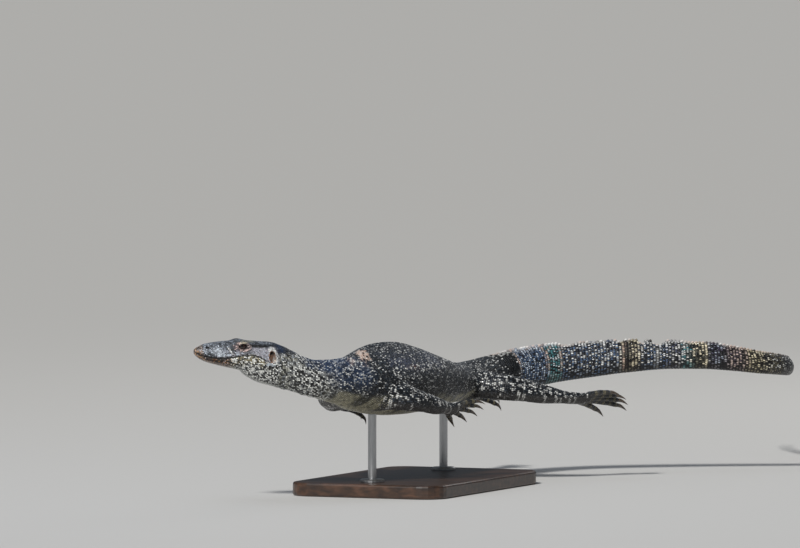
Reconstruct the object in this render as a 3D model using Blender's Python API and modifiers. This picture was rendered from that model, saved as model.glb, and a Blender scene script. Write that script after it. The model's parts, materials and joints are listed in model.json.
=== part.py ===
"""Water monitor lizard, swimming at the surface with its head raised, held on a plain display stand.

Metres, +Z up. The origin is the middle of the stand's underside. +X runs to the viewer's right and
+Y away from the viewer, who sees the animal's left side. Heights in the tables below are measured
from the water line, which lies WATER_LINE above the floor.
"""

import math

import bmesh
import bpy
import numpy as np
from mathutils import Euler, Matrix, Vector

# Driving dimensions
BODY_LENGTH = 1.53
WATER_LINE = 0.165
SNOUT_PLACE = (-0.286, -0.280)
GAP = 0.0003

# Heading of the spine seen from above, from head to tail: distance from the snout, degrees from +X
HEADING = (
    (0.000, 13), (0.105, 13), (0.150, 30), (0.200, 50), (0.250, 63), (0.320, 69), (0.420, 70),
    (0.520, 66), (0.600, 58), (0.680, 48), (0.740, 32), (0.790, 14), (0.850, 8), (0.960, 7),
    (1.020, 14), (1.080, 48), (1.140, 82), (1.220, 102), (1.340, 104), (1.440, 92), (1.530, 78),
)

# Distance from the snout, half width, height of the top, of the side line and of the underside.
# The side line is the mouth on the head and the widest level on the trunk and tail.
STATIONS = (
    (0.0000, 0.0018, 0.0345, 0.0322, 0.0300),
    (0.0010, 0.0058, 0.0358, 0.0316, 0.0282),
    (0.0035, 0.0090, 0.0378, 0.0303, 0.0258),
    (0.0080, 0.0112, 0.0402, 0.0280, 0.0222),
    (0.0150, 0.0132, 0.0428, 0.0260, 0.0188),
    (0.0300, 0.0158, 0.0452, 0.0241, 0.0144),
    (0.0450, 0.0182, 0.0464, 0.0247, 0.0108),
    (0.0600, 0.0212, 0.0470, 0.0268, 0.0072),
    (0.0665, 0.0226, 0.0467, 0.0277, 0.0012),
    (0.0740, 0.0242, 0.0462, 0.0279, -0.0036),
    (0.0850, 0.0262, 0.0451, 0.0232, -0.0088),
    (0.1000, 0.0275, 0.0440, 0.0170, -0.0130),
    (0.1120, 0.0268, 0.0403, 0.0130, -0.0165),
    (0.1280, 0.0250, 0.0328, 0.0070, -0.0210),
    (0.1450, 0.0245, 0.0240, 0.0005, -0.0260),
    (0.1650, 0.0250, 0.0191, -0.0050, -0.0310),
    (0.1900, 0.0280, 0.0185, -0.0100, -0.0370),
    (0.2150, 0.0335, 0.0193, -0.0135, -0.0430),
    (0.2450, 0.0430, 0.0210, -0.0155, -0.0500),
    (0.2850, 0.0530, 0.0268, -0.0165, -0.0570),
    (0.3400, 0.0590, 0.0334, -0.0170, -0.0620),
    (0.3700, 0.0602, 0.0326, -0.0177, -0.0632),
    (0.4000, 0.0610, 0.0280, -0.0185, -0.0640),
    (0.4600, 0.0585, 0.0165, -0.0225, -0.0635),
    (0.5200, 0.0510, 0.0045, -0.0265, -0.0610),
    (0.5650, 0.0430, -0.0035, -0.0290, -0.0585),
    (0.6000, 0.0375, -0.0070, -0.0305, -0.0575),
    (0.6300, 0.0325, -0.0052, -0.0305, -0.0570),
    (0.6700, 0.0280, -0.0004, -0.0285, -0.0560),
    (0.7100, 0.0250, 0.0048, -0.0250, -0.0530),
    (0.7450, 0.0225, 0.0084, -0.0200, -0.0470),
    (0.7800, 0.0200, 0.0114, -0.0160, -0.0405),
    (0.8300, 0.0178, 0.0130, -0.0115, -0.0340),
    (0.8700, 0.0160, 0.0152, -0.0085, -0.0290),
    (0.9400, 0.0138, 0.0138, -0.0060, -0.0240),
    (0.9600, 0.0130, 0.0113, -0.0067, -0.0242),
    (0.9800, 0.0122, 0.0110, -0.0078, -0.0245),
    (1.0200, 0.0112, 0.0052, -0.0122, -0.0275),
    (1.0600, 0.0100, -0.0026, -0.0185, -0.0320),
    (1.1600, 0.0075, -0.0150, -0.0275, -0.0390),
    (1.3400, 0.0045, -0.0265, -0.0345, -0.0420),
    (1.4800, 0.0022, -0.0340, -0.0382, -0.0420),
    (1.5300, 0.0009, -0.0375, -0.0390, -0.0405),
)

# How boxy a section is: distance from the snout, power across, power up (1 is an ellipse)
SQUARENESS = ((0.00, 0.80, 0.85), (0.12, 0.85, 0.90), (0.25, 1.03, 1.03), (0.60, 1.00, 1.00))
AROUND_BODY = 20
# The tail's upper edge narrows to a keel over the first tenth of a metre
KEEL_STARTS = 0.66
KEEL_PINCH = 0.45
# Old bites in the keel: distance from the snout, half length, depth
KEEL_NICKS = (
    (0.721, 0.0035, 0.0022), (0.793, 0.0105, 0.0030), (0.867, 0.0045, 0.0028),
    (0.8955, 0.0045, 0.0050), (0.9175, 0.0092, 0.0058),
)

# The lengths that the body is parted into: name, start, end, number of sections
HEAD_END = 0.118
LENGTHS = (
    ("neck", HEAD_END, 0.235, 15),
    ("chest", 0.235, 0.385, 13),
    ("belly", 0.385, 0.525, 11),
    ("pelvis", 0.525, 0.655, 12),
    ("tail_base", 0.655, 0.800, 14),
    ("tail_front", 0.800, 0.950, 14),
    ("tail_middle", 0.950, 1.090, 11),
    ("tail_rear", 1.090, 1.270, 12),
    ("tail_tip", 1.270, BODY_LENGTH, 12),
)

# Head details: distance from the snout and height over the water line
MOUTH_CORNER = 0.089
JAW_ANGLE = (0.103, -0.030)
MOUTH_GROOVE = 0.0011
GROOVE_SPREAD = 4
EYE_PLACE = (0.0612, 0.0390)
EYE_OUT = 0.0128
EYE_RADIUS = 0.0068
LID_THICKNESS = 0.0013
LID_OPENING = (0.0053, 0.0033)
EAR_PLACE = (0.0980, 0.0256)
EAR_RADII = (0.0042, 0.0038, 0.0072)
NOSTRIL_PLACE = (0.0158, 0.0378)
NOSTRIL_RADII = (0.0021, 0.0019, 0.0014)

# Swellings and hollows of the head: name, distance from the snout, degrees over the side line,
# half length, half spread in degrees, height
HEAD_BUMPS = (
    ("brow", 0.0585, 63, 0.0105, 13, 0.0043),
    ("muzzle edge", 0.0340, 48, 0.0170, 12, 0.0010),
    ("nose", 0.0170, 38, 0.0080, 18, 0.0006),
    ("hollow before the eye", 0.0430, 24, 0.0090, 11, -0.0010),
    ("eye socket", 0.0612, 30, 0.0100, 12, -0.0016),
    ("temple", 0.0860, 42, 0.0120, 18, 0.0008),
    ("cheek", 0.0950, 6, 0.0140, 24, 0.0016),
    ("upper lip", 0.0450, 12, 0.0400, 8, 0.0008),
    ("lower lip", 0.0450, -14, 0.0400, 8, 0.0006),
)

# Teeth of the keel along the tail
TOOTH_PITCH = 0.0095
TOOTH_HEIGHT = 0.0024
TOOTH_SINK = 0.0040
BITTEN_OFF = 0.0015
TOOTH_ENDS = 1.46

# Limbs: joints from the shoulder or hip as (back, out, up), with the radius across and the radius up.
# A part runs between two places along the joints, counted from 0.
SIDES = {"left": 1, "right": -1}
WRIST = 5.4
FORELIMB = {
    "root": (0.262, 0.018, -0.0290),
    "joints": (
        (0.000, 0.000, 0.000), (0.013, 0.025, -0.004), (0.032, 0.040, -0.009), (0.053, 0.049, -0.013),
        (0.076, 0.054, -0.018), (0.100, 0.056, -0.022), (0.112, 0.057, -0.024), (0.128, 0.059, -0.026),
    ),
    "radii": (
        (0.0140, 0.0130), (0.0172, 0.0165), (0.0150, 0.0150), (0.0128, 0.0130),
        (0.0118, 0.0112), (0.0092, 0.0080), (0.0105, 0.0066), (0.0115, 0.0050),
    ),
    "splay": {"left": 0, "right": 2},
    "parts": (("upper_arm", 0, 3), ("forearm", 3, WRIST), ("hand", WRIST, 7)),
    "toes": ((-25, 0.023), (-12, 0.032), (0, 0.036), (12, 0.032), (27, 0.023)),
    "toe_radius": 0.0040,
    "claw": 0.011,
    "roll": 35,
}
HINDLIMB = {
    "root": (0.588, 0.010, -0.0345),
    "joints": (
        (0.000, 0.000, 0.000), (0.016, 0.023, -0.001), (0.038, 0.043, -0.004), (0.064, 0.055, -0.008),
        (0.090, 0.061, -0.013), (0.117, 0.064, -0.018), (0.132, 0.065, -0.020), (0.158, 0.067, -0.022),
    ),
    "radii": (
        (0.0150, 0.0130), (0.0198, 0.0178), (0.0182, 0.0172), (0.0150, 0.0150),
        (0.0132, 0.0125), (0.0098, 0.0088), (0.0110, 0.0072), (0.0128, 0.0052),
    ),
    # the left leg stays clear of the tail, which bends to that side
    "splay": {"left": 24, "right": -2},
    "parts": (("thigh", 0, 3), ("shank", 3, WRIST), ("foot", WRIST, 7)),
    "toes": ((-21, 0.026), (-11, 0.038), (-1, 0.048), (8, 0.056), (26, 0.036)),
    "toe_radius": 0.0045,
    "claw": 0.012,
    "roll": 30,
}
# Along a toe and its claw: place, rise of the centre line and share of the toe's radius
TOE_SINK = 0.014
TOE_SPREAD = 0.55
TOE_SECTIONS = (
    (0.00, 0.0000, 1.00), (0.30, 0.0012, 1.05), (0.62, 0.0016, 0.92), (0.93, 0.0004, 0.86),
    (1.00, 0.0000, 0.66), (1.35, -0.0008, 0.50), (1.75, -0.0036, 0.28), (2.00, -0.0068, 0.09),
)

# Stand
BASE_SIZE = (0.360, 0.215, 0.018)
BASE_CORNER = 0.030
BASE_EDGE = 0.003
BASE_TURN = 67
ROD_RADIUS = 0.0055
FLANGE_RADIUS = 0.016
FLANGE_HEIGHT = 0.004
ROD_STATIONS = {"front": 0.300, "rear": 0.555}

# Materials: colour, roughness, metallic
FINISHES = {
    "skin": ((0.055, 0.060, 0.062), 0.55, 0.0),
    "skin_pale": ((0.330, 0.310, 0.230), 0.55, 0.0),
    "eye": ((0.012, 0.008, 0.006), 0.08, 0.0),
    "stand_wood": ((0.055, 0.035, 0.024), 0.35, 0.0),
    "stand_steel": ((0.420, 0.420, 0.430), 0.30, 1.0),
}


def through(xs, ys):
    """A function through the points (xs, ys), in cubic pieces that never overshoot."""
    xs, ys = np.asarray(xs, float), np.asarray(ys, float)
    step = np.diff(xs)
    slope = np.diff(ys) / step
    product = slope[:-1] * slope[1:]
    total = np.where(product > 0, slope[:-1] + slope[1:], 1)
    lean = np.concatenate([slope[:1], np.where(product > 0, 2 * product / total, 0), slope[-1:]])

    def value(x):
        x = np.clip(np.asarray(x, float), xs[0], xs[-1])
        i = np.clip(np.searchsorted(xs, x) - 1, 0, len(xs) - 2)
        t = (x - xs[i]) / step[i]
        return (
            (1 + 2 * t) * (1 - t) ** 2 * ys[i]
            + t * (1 - t) ** 2 * step[i] * lean[i]
            + t * t * (3 - 2 * t) * ys[i + 1]
            + t * t * (t - 1) * step[i] * lean[i + 1]
        )

    return value


HEADING_AT = through(*zip(*HEADING))
HALF_WIDTH, TOP, SIDE_LINE, UNDERSIDE = (
    through([row[0] for row in STATIONS], [row[i] for row in STATIONS]) for i in range(1, 5)
)
ALONG = np.linspace(0, BODY_LENGTH, 1531)
TURN = np.radians(HEADING_AT((ALONG[1:] + ALONG[:-1]) / 2))
SPINE_X = SNOUT_PLACE[0] + np.concatenate([[0], np.cumsum(np.cos(TURN) * np.diff(ALONG))])
SPINE_Y = SNOUT_PLACE[1] + np.concatenate([[0], np.cumsum(np.sin(TURN) * np.diff(ALONG))])


def spine(s):
    """Place of the spine on the plan, and the directions back and left there."""
    turn = np.radians(HEADING_AT(s))
    place = np.stack([np.interp(s, ALONG, SPINE_X), np.interp(s, ALONG, SPINE_Y)], -1)
    back = np.stack([np.cos(turn), np.sin(turn)], -1)
    left = np.stack([np.sin(turn), -np.cos(turn)], -1)
    return place, back, left


def in_body(s, out, up):
    """World point at distance s from the snout, out to the left and up from the water line."""
    place, _, left = spine(np.asarray(s, float))
    plan = place + left * np.asarray(out)[..., None]
    height = np.broadcast_to(WATER_LINE + np.asarray(up), plan.shape[:-1])
    return np.concatenate([plan, height[..., None]], -1)


def elevation(angle):
    """Degrees over the side line, the same on both sides of the body."""
    return 90 - np.abs(180 - np.mod(np.degrees(angle) + 90, 360))


def nick(s):
    """How far the keel is bitten down at s."""
    return sum(depth * np.exp(-(((s - place) / half) ** 4)) for place, half, depth in KEEL_NICKS)


def relief(s, angle):
    """Rise of the head's brows, cheeks and lips over the plain tube, with the groove of the mouth."""
    total = 0.0
    for _, place, degrees, length, spread, height in HEAD_BUMPS:
        total = total + height * np.exp(
            -(((s - place) / length) ** 2) - ((elevation(angle) - degrees) / spread) ** 2
        )
    closed = np.clip((MOUTH_CORNER - s) / 0.004, 0, 1) * np.clip(s / 0.002, 0, 1)
    return total - MOUTH_GROOVE * closed * np.exp(-((elevation(angle) / GROOVE_SPREAD) ** 2))


def surface(s, angle, grow=0.0):
    """World points of the body's skin at distance s and angle (0 at the left, 90 degrees on top)."""
    across, upwards = np.cos(angle), np.sin(angle)
    places, powers_out, powers_up = zip(*SQUARENESS)
    power_out, power_up = np.interp(s, places, powers_out), np.interp(s, places, powers_up)
    side = SIDE_LINE(s)
    rise = np.where(upwards > 0, TOP(s) - side, side - UNDERSIDE(s))
    extra = grow + np.where(s < HEAD_END + 0.01, relief(s, angle), 0.0)
    keel = np.clip((s - KEEL_STARTS) / 0.10, 0, 1) * KEEL_PINCH
    pinch = 1 - keel * np.clip(upwards, 0, 1) ** 2
    out = HALF_WIDTH(s) * pinch * np.sign(across) * np.abs(across) ** power_out + extra * across
    up = side + rise * np.sign(upwards) * np.abs(upwards) ** power_up + extra * upwards
    up = up - nick(s) * np.clip(upwards, 0, 1) ** 4
    return in_body(s, out, up)


def material(name):
    """The named material, made once."""
    made = bpy.data.materials.get(name)
    if made is None:
        colour, roughness, metallic = FINISHES[name]
        made = bpy.data.materials.new(name)
        made.use_nodes = True
        shader = made.node_tree.nodes["Principled BSDF"]
        shader.inputs["Base Color"].default_value = (*colour, 1)
        shader.inputs["Roughness"].default_value = roughness
        shader.inputs["Metallic"].default_value = metallic
    return made


def add_object(name, mesh, collection, finish=None):
    made = bpy.data.objects.new(name, mesh)
    collection.objects.link(made)
    if finish:
        mesh.materials.append(material(finish))
    return made


def add_collection(name):
    made = bpy.data.collections.new(name)
    bpy.context.scene.collection.children.link(made)
    return made


def loft(name, rings, collection, finish=None):
    """A closed body through rings of points, with a flat cap on each end."""
    count, around = rings.shape[:2]
    index = np.arange(count * around).reshape(count, around)
    following = np.roll(index, -1, axis=1)
    quads = np.stack([index[:-1], following[:-1], following[1:], index[1:]], -1).reshape(-1, 4)
    mesh = bpy.data.meshes.new(name)
    mesh.from_pydata(rings.reshape(-1, 3).tolist(), [], quads.tolist() + [index[0].tolist(), index[-1].tolist()])
    work = bmesh.new()
    work.from_mesh(mesh)
    bmesh.ops.recalc_face_normals(work, faces=work.faces)
    work.to_mesh(mesh)
    work.free()
    return add_object(name, mesh, collection, finish)


def ball(name, centre, radii, turn, collection, segments=16, rings=10):
    """An ellipsoid turned about the upright."""
    mesh = bpy.data.meshes.new(name)
    work = bmesh.new()
    matrix = Matrix.LocRotScale(Vector(centre), Euler((0, 0, turn)), Vector(radii))
    bmesh.ops.create_uvsphere(work, u_segments=segments, v_segments=rings, radius=1.0, matrix=matrix)
    work.to_mesh(mesh)
    work.free()
    return add_object(name, mesh, collection)


def slab(name, outline, origin, first, second, half_thickness, collection):
    """A flat outline in the plane of two directions through origin, thickened both ways."""
    curve = bpy.data.curves.new(name, "CURVE")
    curve.dimensions = "2D"
    curve.fill_mode = "BOTH"
    curve.extrude = half_thickness
    spline = curve.splines.new("POLY")
    spline.points.add(len(outline) - 1)
    for point, (a, b) in zip(spline.points, outline):
        point.co = (a, b, 0, 1)
    spline.use_cyclic_u = True
    guide = add_object(name, curve, collection)
    mesh = bpy.data.meshes.new_from_object(guide.evaluated_get(bpy.context.evaluated_depsgraph_get()))
    bpy.data.objects.remove(guide)
    first, second = Vector(first), Vector(second)
    columns = Matrix((first, second, first.cross(second))).transposed()
    mesh.transform(Matrix.Translation(Vector(origin)) @ columns.to_4x4())
    work = bmesh.new()
    work.from_mesh(mesh)
    bmesh.ops.remove_doubles(work, verts=work.verts, dist=0.00001)
    bmesh.ops.recalc_face_normals(work, faces=work.faces)
    work.to_mesh(mesh)
    work.free()
    return add_object(name, mesh, collection)


def keep_largest(mesh):
    """Drops every loose scrap, so that the mesh is one closed surface."""
    work = bmesh.new()
    work.from_mesh(mesh)
    bmesh.ops.remove_doubles(work, verts=work.verts, dist=0.00002)
    unseen, groups = set(work.verts), []
    while unseen:
        group, front = set(), [next(iter(unseen))]
        while front:
            vertex = front.pop()
            if vertex not in group:
                group.add(vertex)
                front += [edge.other_vert(vertex) for edge in vertex.link_edges]
        groups.append(group)
        unseen -= group
    groups.sort(key=len)
    bmesh.ops.delete(work, geom=[vertex for group in groups[:-1] for vertex in group], context="VERTS")
    work.to_mesh(mesh)
    work.free()


def combine(target, other, operation):
    """Joins, cuts or keeps the common part with another object or collection, applied at once."""
    modifier = target.modifiers.new(operation.lower(), "BOOLEAN")
    modifier.operation = operation
    modifier.solver = "EXACT"
    if isinstance(other, bpy.types.Collection):
        modifier.operand_type = "COLLECTION"
        modifier.collection = other
    else:
        modifier.object = other
    graph = bpy.context.evaluated_depsgraph_get()
    mesh = bpy.data.meshes.new_from_object(target.evaluated_get(graph))
    target.modifiers.clear()
    target.data = mesh
    keep_largest(mesh)


def join_all(target, pieces):
    """Joins the closed pieces in a collection to the target, and removes them."""
    combine(target, pieces, "UNION")
    for piece in list(pieces.objects):
        bpy.data.objects.remove(piece)
    bpy.data.collections.remove(pieces)


def body_length(name, start, end, count, collection):
    """One length of the body's tube, between two cuts, with extra sections at the keel's bites."""
    last = end if end == BODY_LENGTH else end - GAP / 2
    stops = np.linspace(start + GAP / 2, last, count)
    for place, half, _ in KEEL_NICKS:
        if start + half < place < end:
            stops = stops[np.abs(stops - place) > 1.5 * half]
            extra = place + half * np.array([-1.4, -0.8, 0, 0.8, 1.4])
            stops = np.concatenate([stops, extra[extra < last - 0.0005]])
            stops = np.unique(np.append(stops, last))
    angles = np.arange(AROUND_BODY) * math.tau / AROUND_BODY
    return loft(name, surface(stops[:, None], angles[None, :]), collection, "skin")


def head_rings():
    """Sections of the head, close together at the nose and at the line of the mouth."""
    stops = np.concatenate([[0.0, 0.0010, 0.0032, 0.0070], np.linspace(0.0115, HEAD_END - GAP / 2, 27)])
    quarter = np.radians([0, 7, 17, 28, 39, 50, 62, 76])
    upper = np.concatenate([quarter, [math.pi / 2], (math.pi - quarter)[::-1]])
    angles = np.concatenate([upper, -upper[-2:0:-1]])
    return surface(stops[:, None], angles[None, :])


def below_mouth(name, shift, collection):
    """A slab that holds all of the head below the mouth line, with its edge moved by shift."""
    front = -0.010
    floor = JAW_ANGLE[1]
    lips = [(s, float(SIDE_LINE(s)) + shift) for s in np.linspace(0.0, MOUTH_CORNER, 14)]
    outline = [(front, lips[0][1])] + lips + [(JAW_ANGLE[0] + shift, floor), (front, floor)]
    place, back, _ = spine(np.array(0.0))
    return slab(name, outline, (*place, WATER_LINE), (*back, 0), (0, 0, 1), 0.05, collection)


def side_of_head(s, height):
    """How far out the head's skin is at distance s and height."""
    points = surface(np.full(200, s), np.radians(np.linspace(2, 88, 200)))
    place, _, left = spine(np.array(s))
    nearest = int(np.argmin(np.abs(points[:, 2] - WATER_LINE - height)))
    return float((points[nearest, :2] - place) @ left)


def make_head(parts, cutters):
    """Upper head with sockets, lids, ears and nostrils, and the lower jaw below the mouth line."""
    head = loft("head", head_rings(), parts, "skin")
    jaw = loft("lower_jaw", head_rings(), parts, "skin_pale")
    combine(jaw, below_mouth("jaw_keeper", -GAP / 2, cutters), "INTERSECT")
    combine(head, below_mouth("jaw_cutter", GAP / 2, cutters), "DIFFERENCE")
    _, back, left = spine(np.array(EYE_PLACE[0]))
    turn = math.atan2(back[1], back[0])
    for side, sign in SIDES.items():
        centre = in_body(EYE_PLACE[0], sign * EYE_OUT, EYE_PLACE[1])
        lids = add_collection("lids")
        ball("lids", centre, (EYE_RADIUS + LID_THICKNESS,) * 3, turn, lids)
        join_all(head, lids)
        turns = np.arange(14) * math.tau / 14
        almond = [(LID_OPENING[0] * math.cos(t), LID_OPENING[1] * math.sin(t)) for t in turns]
        outside = centre + np.array((*left, 0)) * sign * EYE_RADIUS * 1.1
        opening = slab("lid_opening", almond, outside, (*back, 0), (0, 0, 1), EYE_RADIUS * 0.9, cutters)
        combine(head, opening, "DIFFERENCE")
        combine(head, ball("socket", centre, (EYE_RADIUS + GAP,) * 3, turn, cutters), "DIFFERENCE")
        eye = ball("eye_" + side, centre, (EYE_RADIUS,) * 3, turn, parts)
        eye.data.materials.append(material("eye"))
        for name, (s, height), radii in (
            ("ear", EAR_PLACE, EAR_RADII),
            ("nostril", NOSTRIL_PLACE, NOSTRIL_RADII),
        ):
            centre = in_body(s, sign * side_of_head(s, height), height)
            combine(head, ball(name, centre, radii, turn, cutters), "DIFFERENCE")


def make_keel(tail, start, end):
    """Saw teeth along the top of one length of the tail, each leaning back, joined to it."""
    teeth = add_collection("teeth")
    stops = np.arange(start + 0.7 * TOOTH_PITCH, min(end, TOOTH_ENDS) - 0.6 * TOOTH_PITCH, TOOTH_PITCH)
    bite = nick(stops[:, None] + TOOTH_PITCH * np.array([-0.5, 0, 0.5])).max(axis=1)
    for s in stops[bite < BITTEN_OFF]:
        size = float(np.clip((TOOTH_ENDS - s) / 0.5, 0.25, 1) * np.clip((s - KEEL_STARTS) / 0.06, 0.3, 1))
        width = max(0.0011, 0.20 * float(HALF_WIDTH(s)))
        crown = float(TOP(s) - nick(s))
        profile = (
            (-0.62, -TOOTH_SINK, 1.0), (-0.50, 0.15 * TOOTH_HEIGHT, 0.8),
            (0.36, TOOTH_HEIGHT, 0.45), (0.55, -TOOTH_SINK, 1.0),
        )
        flanks = [
            [in_body(s + a * TOOTH_PITCH, sign * share * width, crown + up * size) for a, up, share in profile]
            for sign in (1, -1)
        ]
        loft("tooth", np.array(flanks), teeth)
    join_all(tail, teeth)


def limb_line(limb, side):
    """The limb's centre line, its directions and its radii, as functions of the place along it."""
    sign = SIDES[side]
    s, out, up = limb["root"]
    root = in_body(s, sign * out, up)
    _, back, left = spine(np.array(s))
    splay = math.radians(limb["splay"][side])
    body_back, body_out = np.array((*back, 0)), np.array((*left, 0)) * sign
    limb_back = body_back * math.cos(splay) + body_out * math.sin(splay)
    limb_out = body_out * math.cos(splay) - body_back * math.sin(splay)
    joints = np.array(limb["joints"])
    world = root + joints @ np.array([limb_back, limb_out, (0, 0, 1)])
    number = np.arange(len(joints))
    axes = [through(number, world[:, i]) for i in range(3)]
    radii = [through(number, [row[i] for row in limb["radii"]]) for i in range(2)]

    def place(t):
        return np.stack([axis(t) for axis in axes], -1)

    def directions(t):
        ahead = place(np.minimum(t + 0.02, number[-1])) - place(np.maximum(t - 0.02, 0))
        ahead = ahead / np.linalg.norm(ahead, axis=-1, keepdims=True)
        across = np.cross((0, 0, 1), ahead) * sign
        across = across / np.linalg.norm(across, axis=-1, keepdims=True)
        up = np.cross(ahead, across) * sign
        # past the elbow or knee the limb rolls, so that the back of the hand or foot looks out
        roll = np.radians(limb["roll"]) * np.clip((t - 3) / 3, 0, 1)[..., None]
        return ahead, across * np.cos(roll) - up * np.sin(roll), up * np.cos(roll) + across * np.sin(roll)

    return place, directions, radii


def limb_rings(limb, side, numbers, around=12):
    place, directions, radii = limb_line(limb, side)
    turns = np.arange(around) * math.tau / around
    _, across, up = (direction[:, None, :] for direction in directions(numbers))
    wide, high = (radius(numbers)[:, None, None] for radius in radii)
    cosines, sines = np.cos(turns)[None, :, None], np.sin(turns)[None, :, None]
    return place(numbers)[:, None, :] + across * wide * cosines + up * high * sines


def add_toes(foot, limb, side):
    """Five toes with claws, fanned out from the front of the sole and joined to it."""
    place, directions, radii = limb_line(limb, side)
    end = np.array([float(len(limb["joints"]) - 1)])
    ahead, across, up = (direction[0] for direction in directions(end))
    front = place(end)[0]
    spread = float(radii[0](end)[0]) * TOE_SPREAD
    share, rise, thickness = np.array(TOE_SECTIONS).T
    turns = np.arange(6) * math.tau / 6
    toes = add_collection("toes")
    for number, (fan, length) in enumerate(limb["toes"]):
        turn = math.radians(fan)
        along = ahead * math.cos(turn) + across * math.sin(turn)
        sideways = across * math.cos(turn) - ahead * math.sin(turn)
        root = front + across * spread * (number - 2) / 2 - ahead * TOE_SINK
        reach = np.minimum(share, 1) * (length + TOE_SINK) + np.maximum(share - 1, 0) * limb["claw"]
        radius = (thickness * limb["toe_radius"])[:, None, None]
        centre = root + reach[:, None] * along + rise[:, None] * up
        circle = sideways * np.cos(turns)[:, None] + up * 0.85 * np.sin(turns)[:, None]
        loft("toe", centre[:, None, :] + radius * circle[None, :, :], toes)
    join_all(foot, toes)


def make_limb(limb, trunk, parts):
    """The three parts of a limb on both sides, parted across by thin cuts."""
    for side in SIDES:
        place, _, _ = limb_line(limb, side)
        for name, first, last in limb["parts"]:
            pace = float(np.linalg.norm(place(last - 0.25) - place(last - 0.75))) * 2
            start = first + (GAP / pace / 2 if first else 0)
            end = last - (GAP / pace / 2 if last < 7 else 0)
            numbers = np.linspace(start, end, 3 + 2 * round(last - first))
            piece = loft(f"{name}_{side}", limb_rings(limb, side, numbers), parts, "skin")
            if first == 0:
                combine(piece, trunk, "DIFFERENCE")
            if last == 7:
                add_toes(piece, limb, side)


def make_base(parts):
    """A flat rectangle of wood with round corners and softened edges."""
    mesh = bpy.data.meshes.new("stand_base")
    work = bmesh.new()
    bmesh.ops.create_cube(work, size=1.0, matrix=Matrix.Diagonal((*BASE_SIZE, 1)))
    upright = [edge for edge in work.edges if edge.verts[0].co.z * edge.verts[1].co.z < 0]
    bmesh.ops.bevel(work, geom=upright, offset=BASE_CORNER, segments=6, profile=0.5, affect="EDGES")
    work.to_mesh(mesh)
    work.free()
    base = add_object("stand_base", mesh, parts, "stand_wood")
    base.location = (0, 0, BASE_SIZE[2] / 2)
    base.rotation_euler = (0, 0, math.radians(BASE_TURN))
    edge = base.modifiers.new("soft edge", "BEVEL")
    edge.limit_method = "ANGLE"
    edge.angle_limit = math.radians(60)
    edge.width = BASE_EDGE
    edge.segments = 3


def make_rod(name, s, trunk, parts):
    """A turned rod with a foot flange, from the base up to the belly and cut to its curve."""
    foot = BASE_SIZE[2] + GAP
    top = WATER_LINE + float(UNDERSIDE(s)) + 0.02
    profile = (
        (0, top), (ROD_RADIUS, top), (ROD_RADIUS, foot + FLANGE_HEIGHT),
        (FLANGE_RADIUS * 0.9, foot + FLANGE_HEIGHT), (FLANGE_RADIUS, foot + FLANGE_HEIGHT * 0.7),
        (FLANGE_RADIUS, foot), (0, foot),
    )
    mesh = bpy.data.meshes.new(name)
    edges = [(i, i + 1) for i in range(len(profile) - 1)]
    mesh.from_pydata([(radius, 0, height) for radius, height in profile], edges, [])
    rod = add_object(name, mesh, parts, "stand_steel")
    rod.location = (*spine(np.array(s))[0], 0)
    turned = rod.modifiers.new("turned", "SCREW")
    turned.steps = turned.render_steps = 20
    turned.use_merge_vertices = True
    turned.merge_threshold = 0.00001
    saddle = rod.modifiers.new("saddle", "BOOLEAN")
    saddle.operation = "DIFFERENCE"
    saddle.object = trunk


def main():
    for obj in list(bpy.data.objects):
        bpy.data.objects.remove(obj)
    parts, cutters = add_collection("water_monitor"), add_collection("cutters")

    make_head(parts, cutters)
    for name, start, end, count in LENGTHS:
        piece = body_length(name, start, end, count, parts)
        if name.startswith("tail"):
            make_keel(piece, max(start, KEEL_STARTS), end)

    angles = np.arange(AROUND_BODY) * math.tau / AROUND_BODY
    trunk = loft("trunk", surface(np.linspace(0.200, 0.700, 40)[:, None], angles[None, :], GAP), cutters)
    make_limb(FORELIMB, trunk, parts)
    make_limb(HINDLIMB, trunk, parts)
    make_base(parts)
    for name, s in ROD_STATIONS.items():
        make_rod("stand_rod_" + name, s, trunk, parts)

    for cutter in cutters.objects:
        cutter.hide_render = True
        cutter.display_type = "WIRE"
    for piece in parts.objects:
        piece.data.shade_smooth()
        piece.data.set_sharp_from_angle(angle=math.radians(35))


main()
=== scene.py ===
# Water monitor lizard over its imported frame: skin, scales, eyes, claws, its stand and a plain studio
import json
import math

import bmesh
import bpy
import numpy as np
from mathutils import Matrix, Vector
from mathutils.bvhtree import BVHTree

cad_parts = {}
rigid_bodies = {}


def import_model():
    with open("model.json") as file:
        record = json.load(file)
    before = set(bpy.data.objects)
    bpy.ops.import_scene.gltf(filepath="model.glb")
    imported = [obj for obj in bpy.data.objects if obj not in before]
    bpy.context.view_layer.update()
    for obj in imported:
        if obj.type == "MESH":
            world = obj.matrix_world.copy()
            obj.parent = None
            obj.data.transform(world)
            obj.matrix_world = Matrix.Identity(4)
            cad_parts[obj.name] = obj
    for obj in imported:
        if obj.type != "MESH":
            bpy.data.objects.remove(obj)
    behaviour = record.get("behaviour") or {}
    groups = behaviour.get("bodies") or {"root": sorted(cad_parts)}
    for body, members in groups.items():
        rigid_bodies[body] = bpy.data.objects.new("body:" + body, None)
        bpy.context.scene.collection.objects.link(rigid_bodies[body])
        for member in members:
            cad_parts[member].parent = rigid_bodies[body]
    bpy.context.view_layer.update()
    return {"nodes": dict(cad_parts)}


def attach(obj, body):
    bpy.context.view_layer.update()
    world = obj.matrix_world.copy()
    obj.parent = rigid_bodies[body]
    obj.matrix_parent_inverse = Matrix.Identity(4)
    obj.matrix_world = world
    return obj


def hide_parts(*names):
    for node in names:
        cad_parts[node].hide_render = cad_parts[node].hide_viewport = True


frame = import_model()
print("frame loaded:", len(frame["nodes"]), "nodes")

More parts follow.
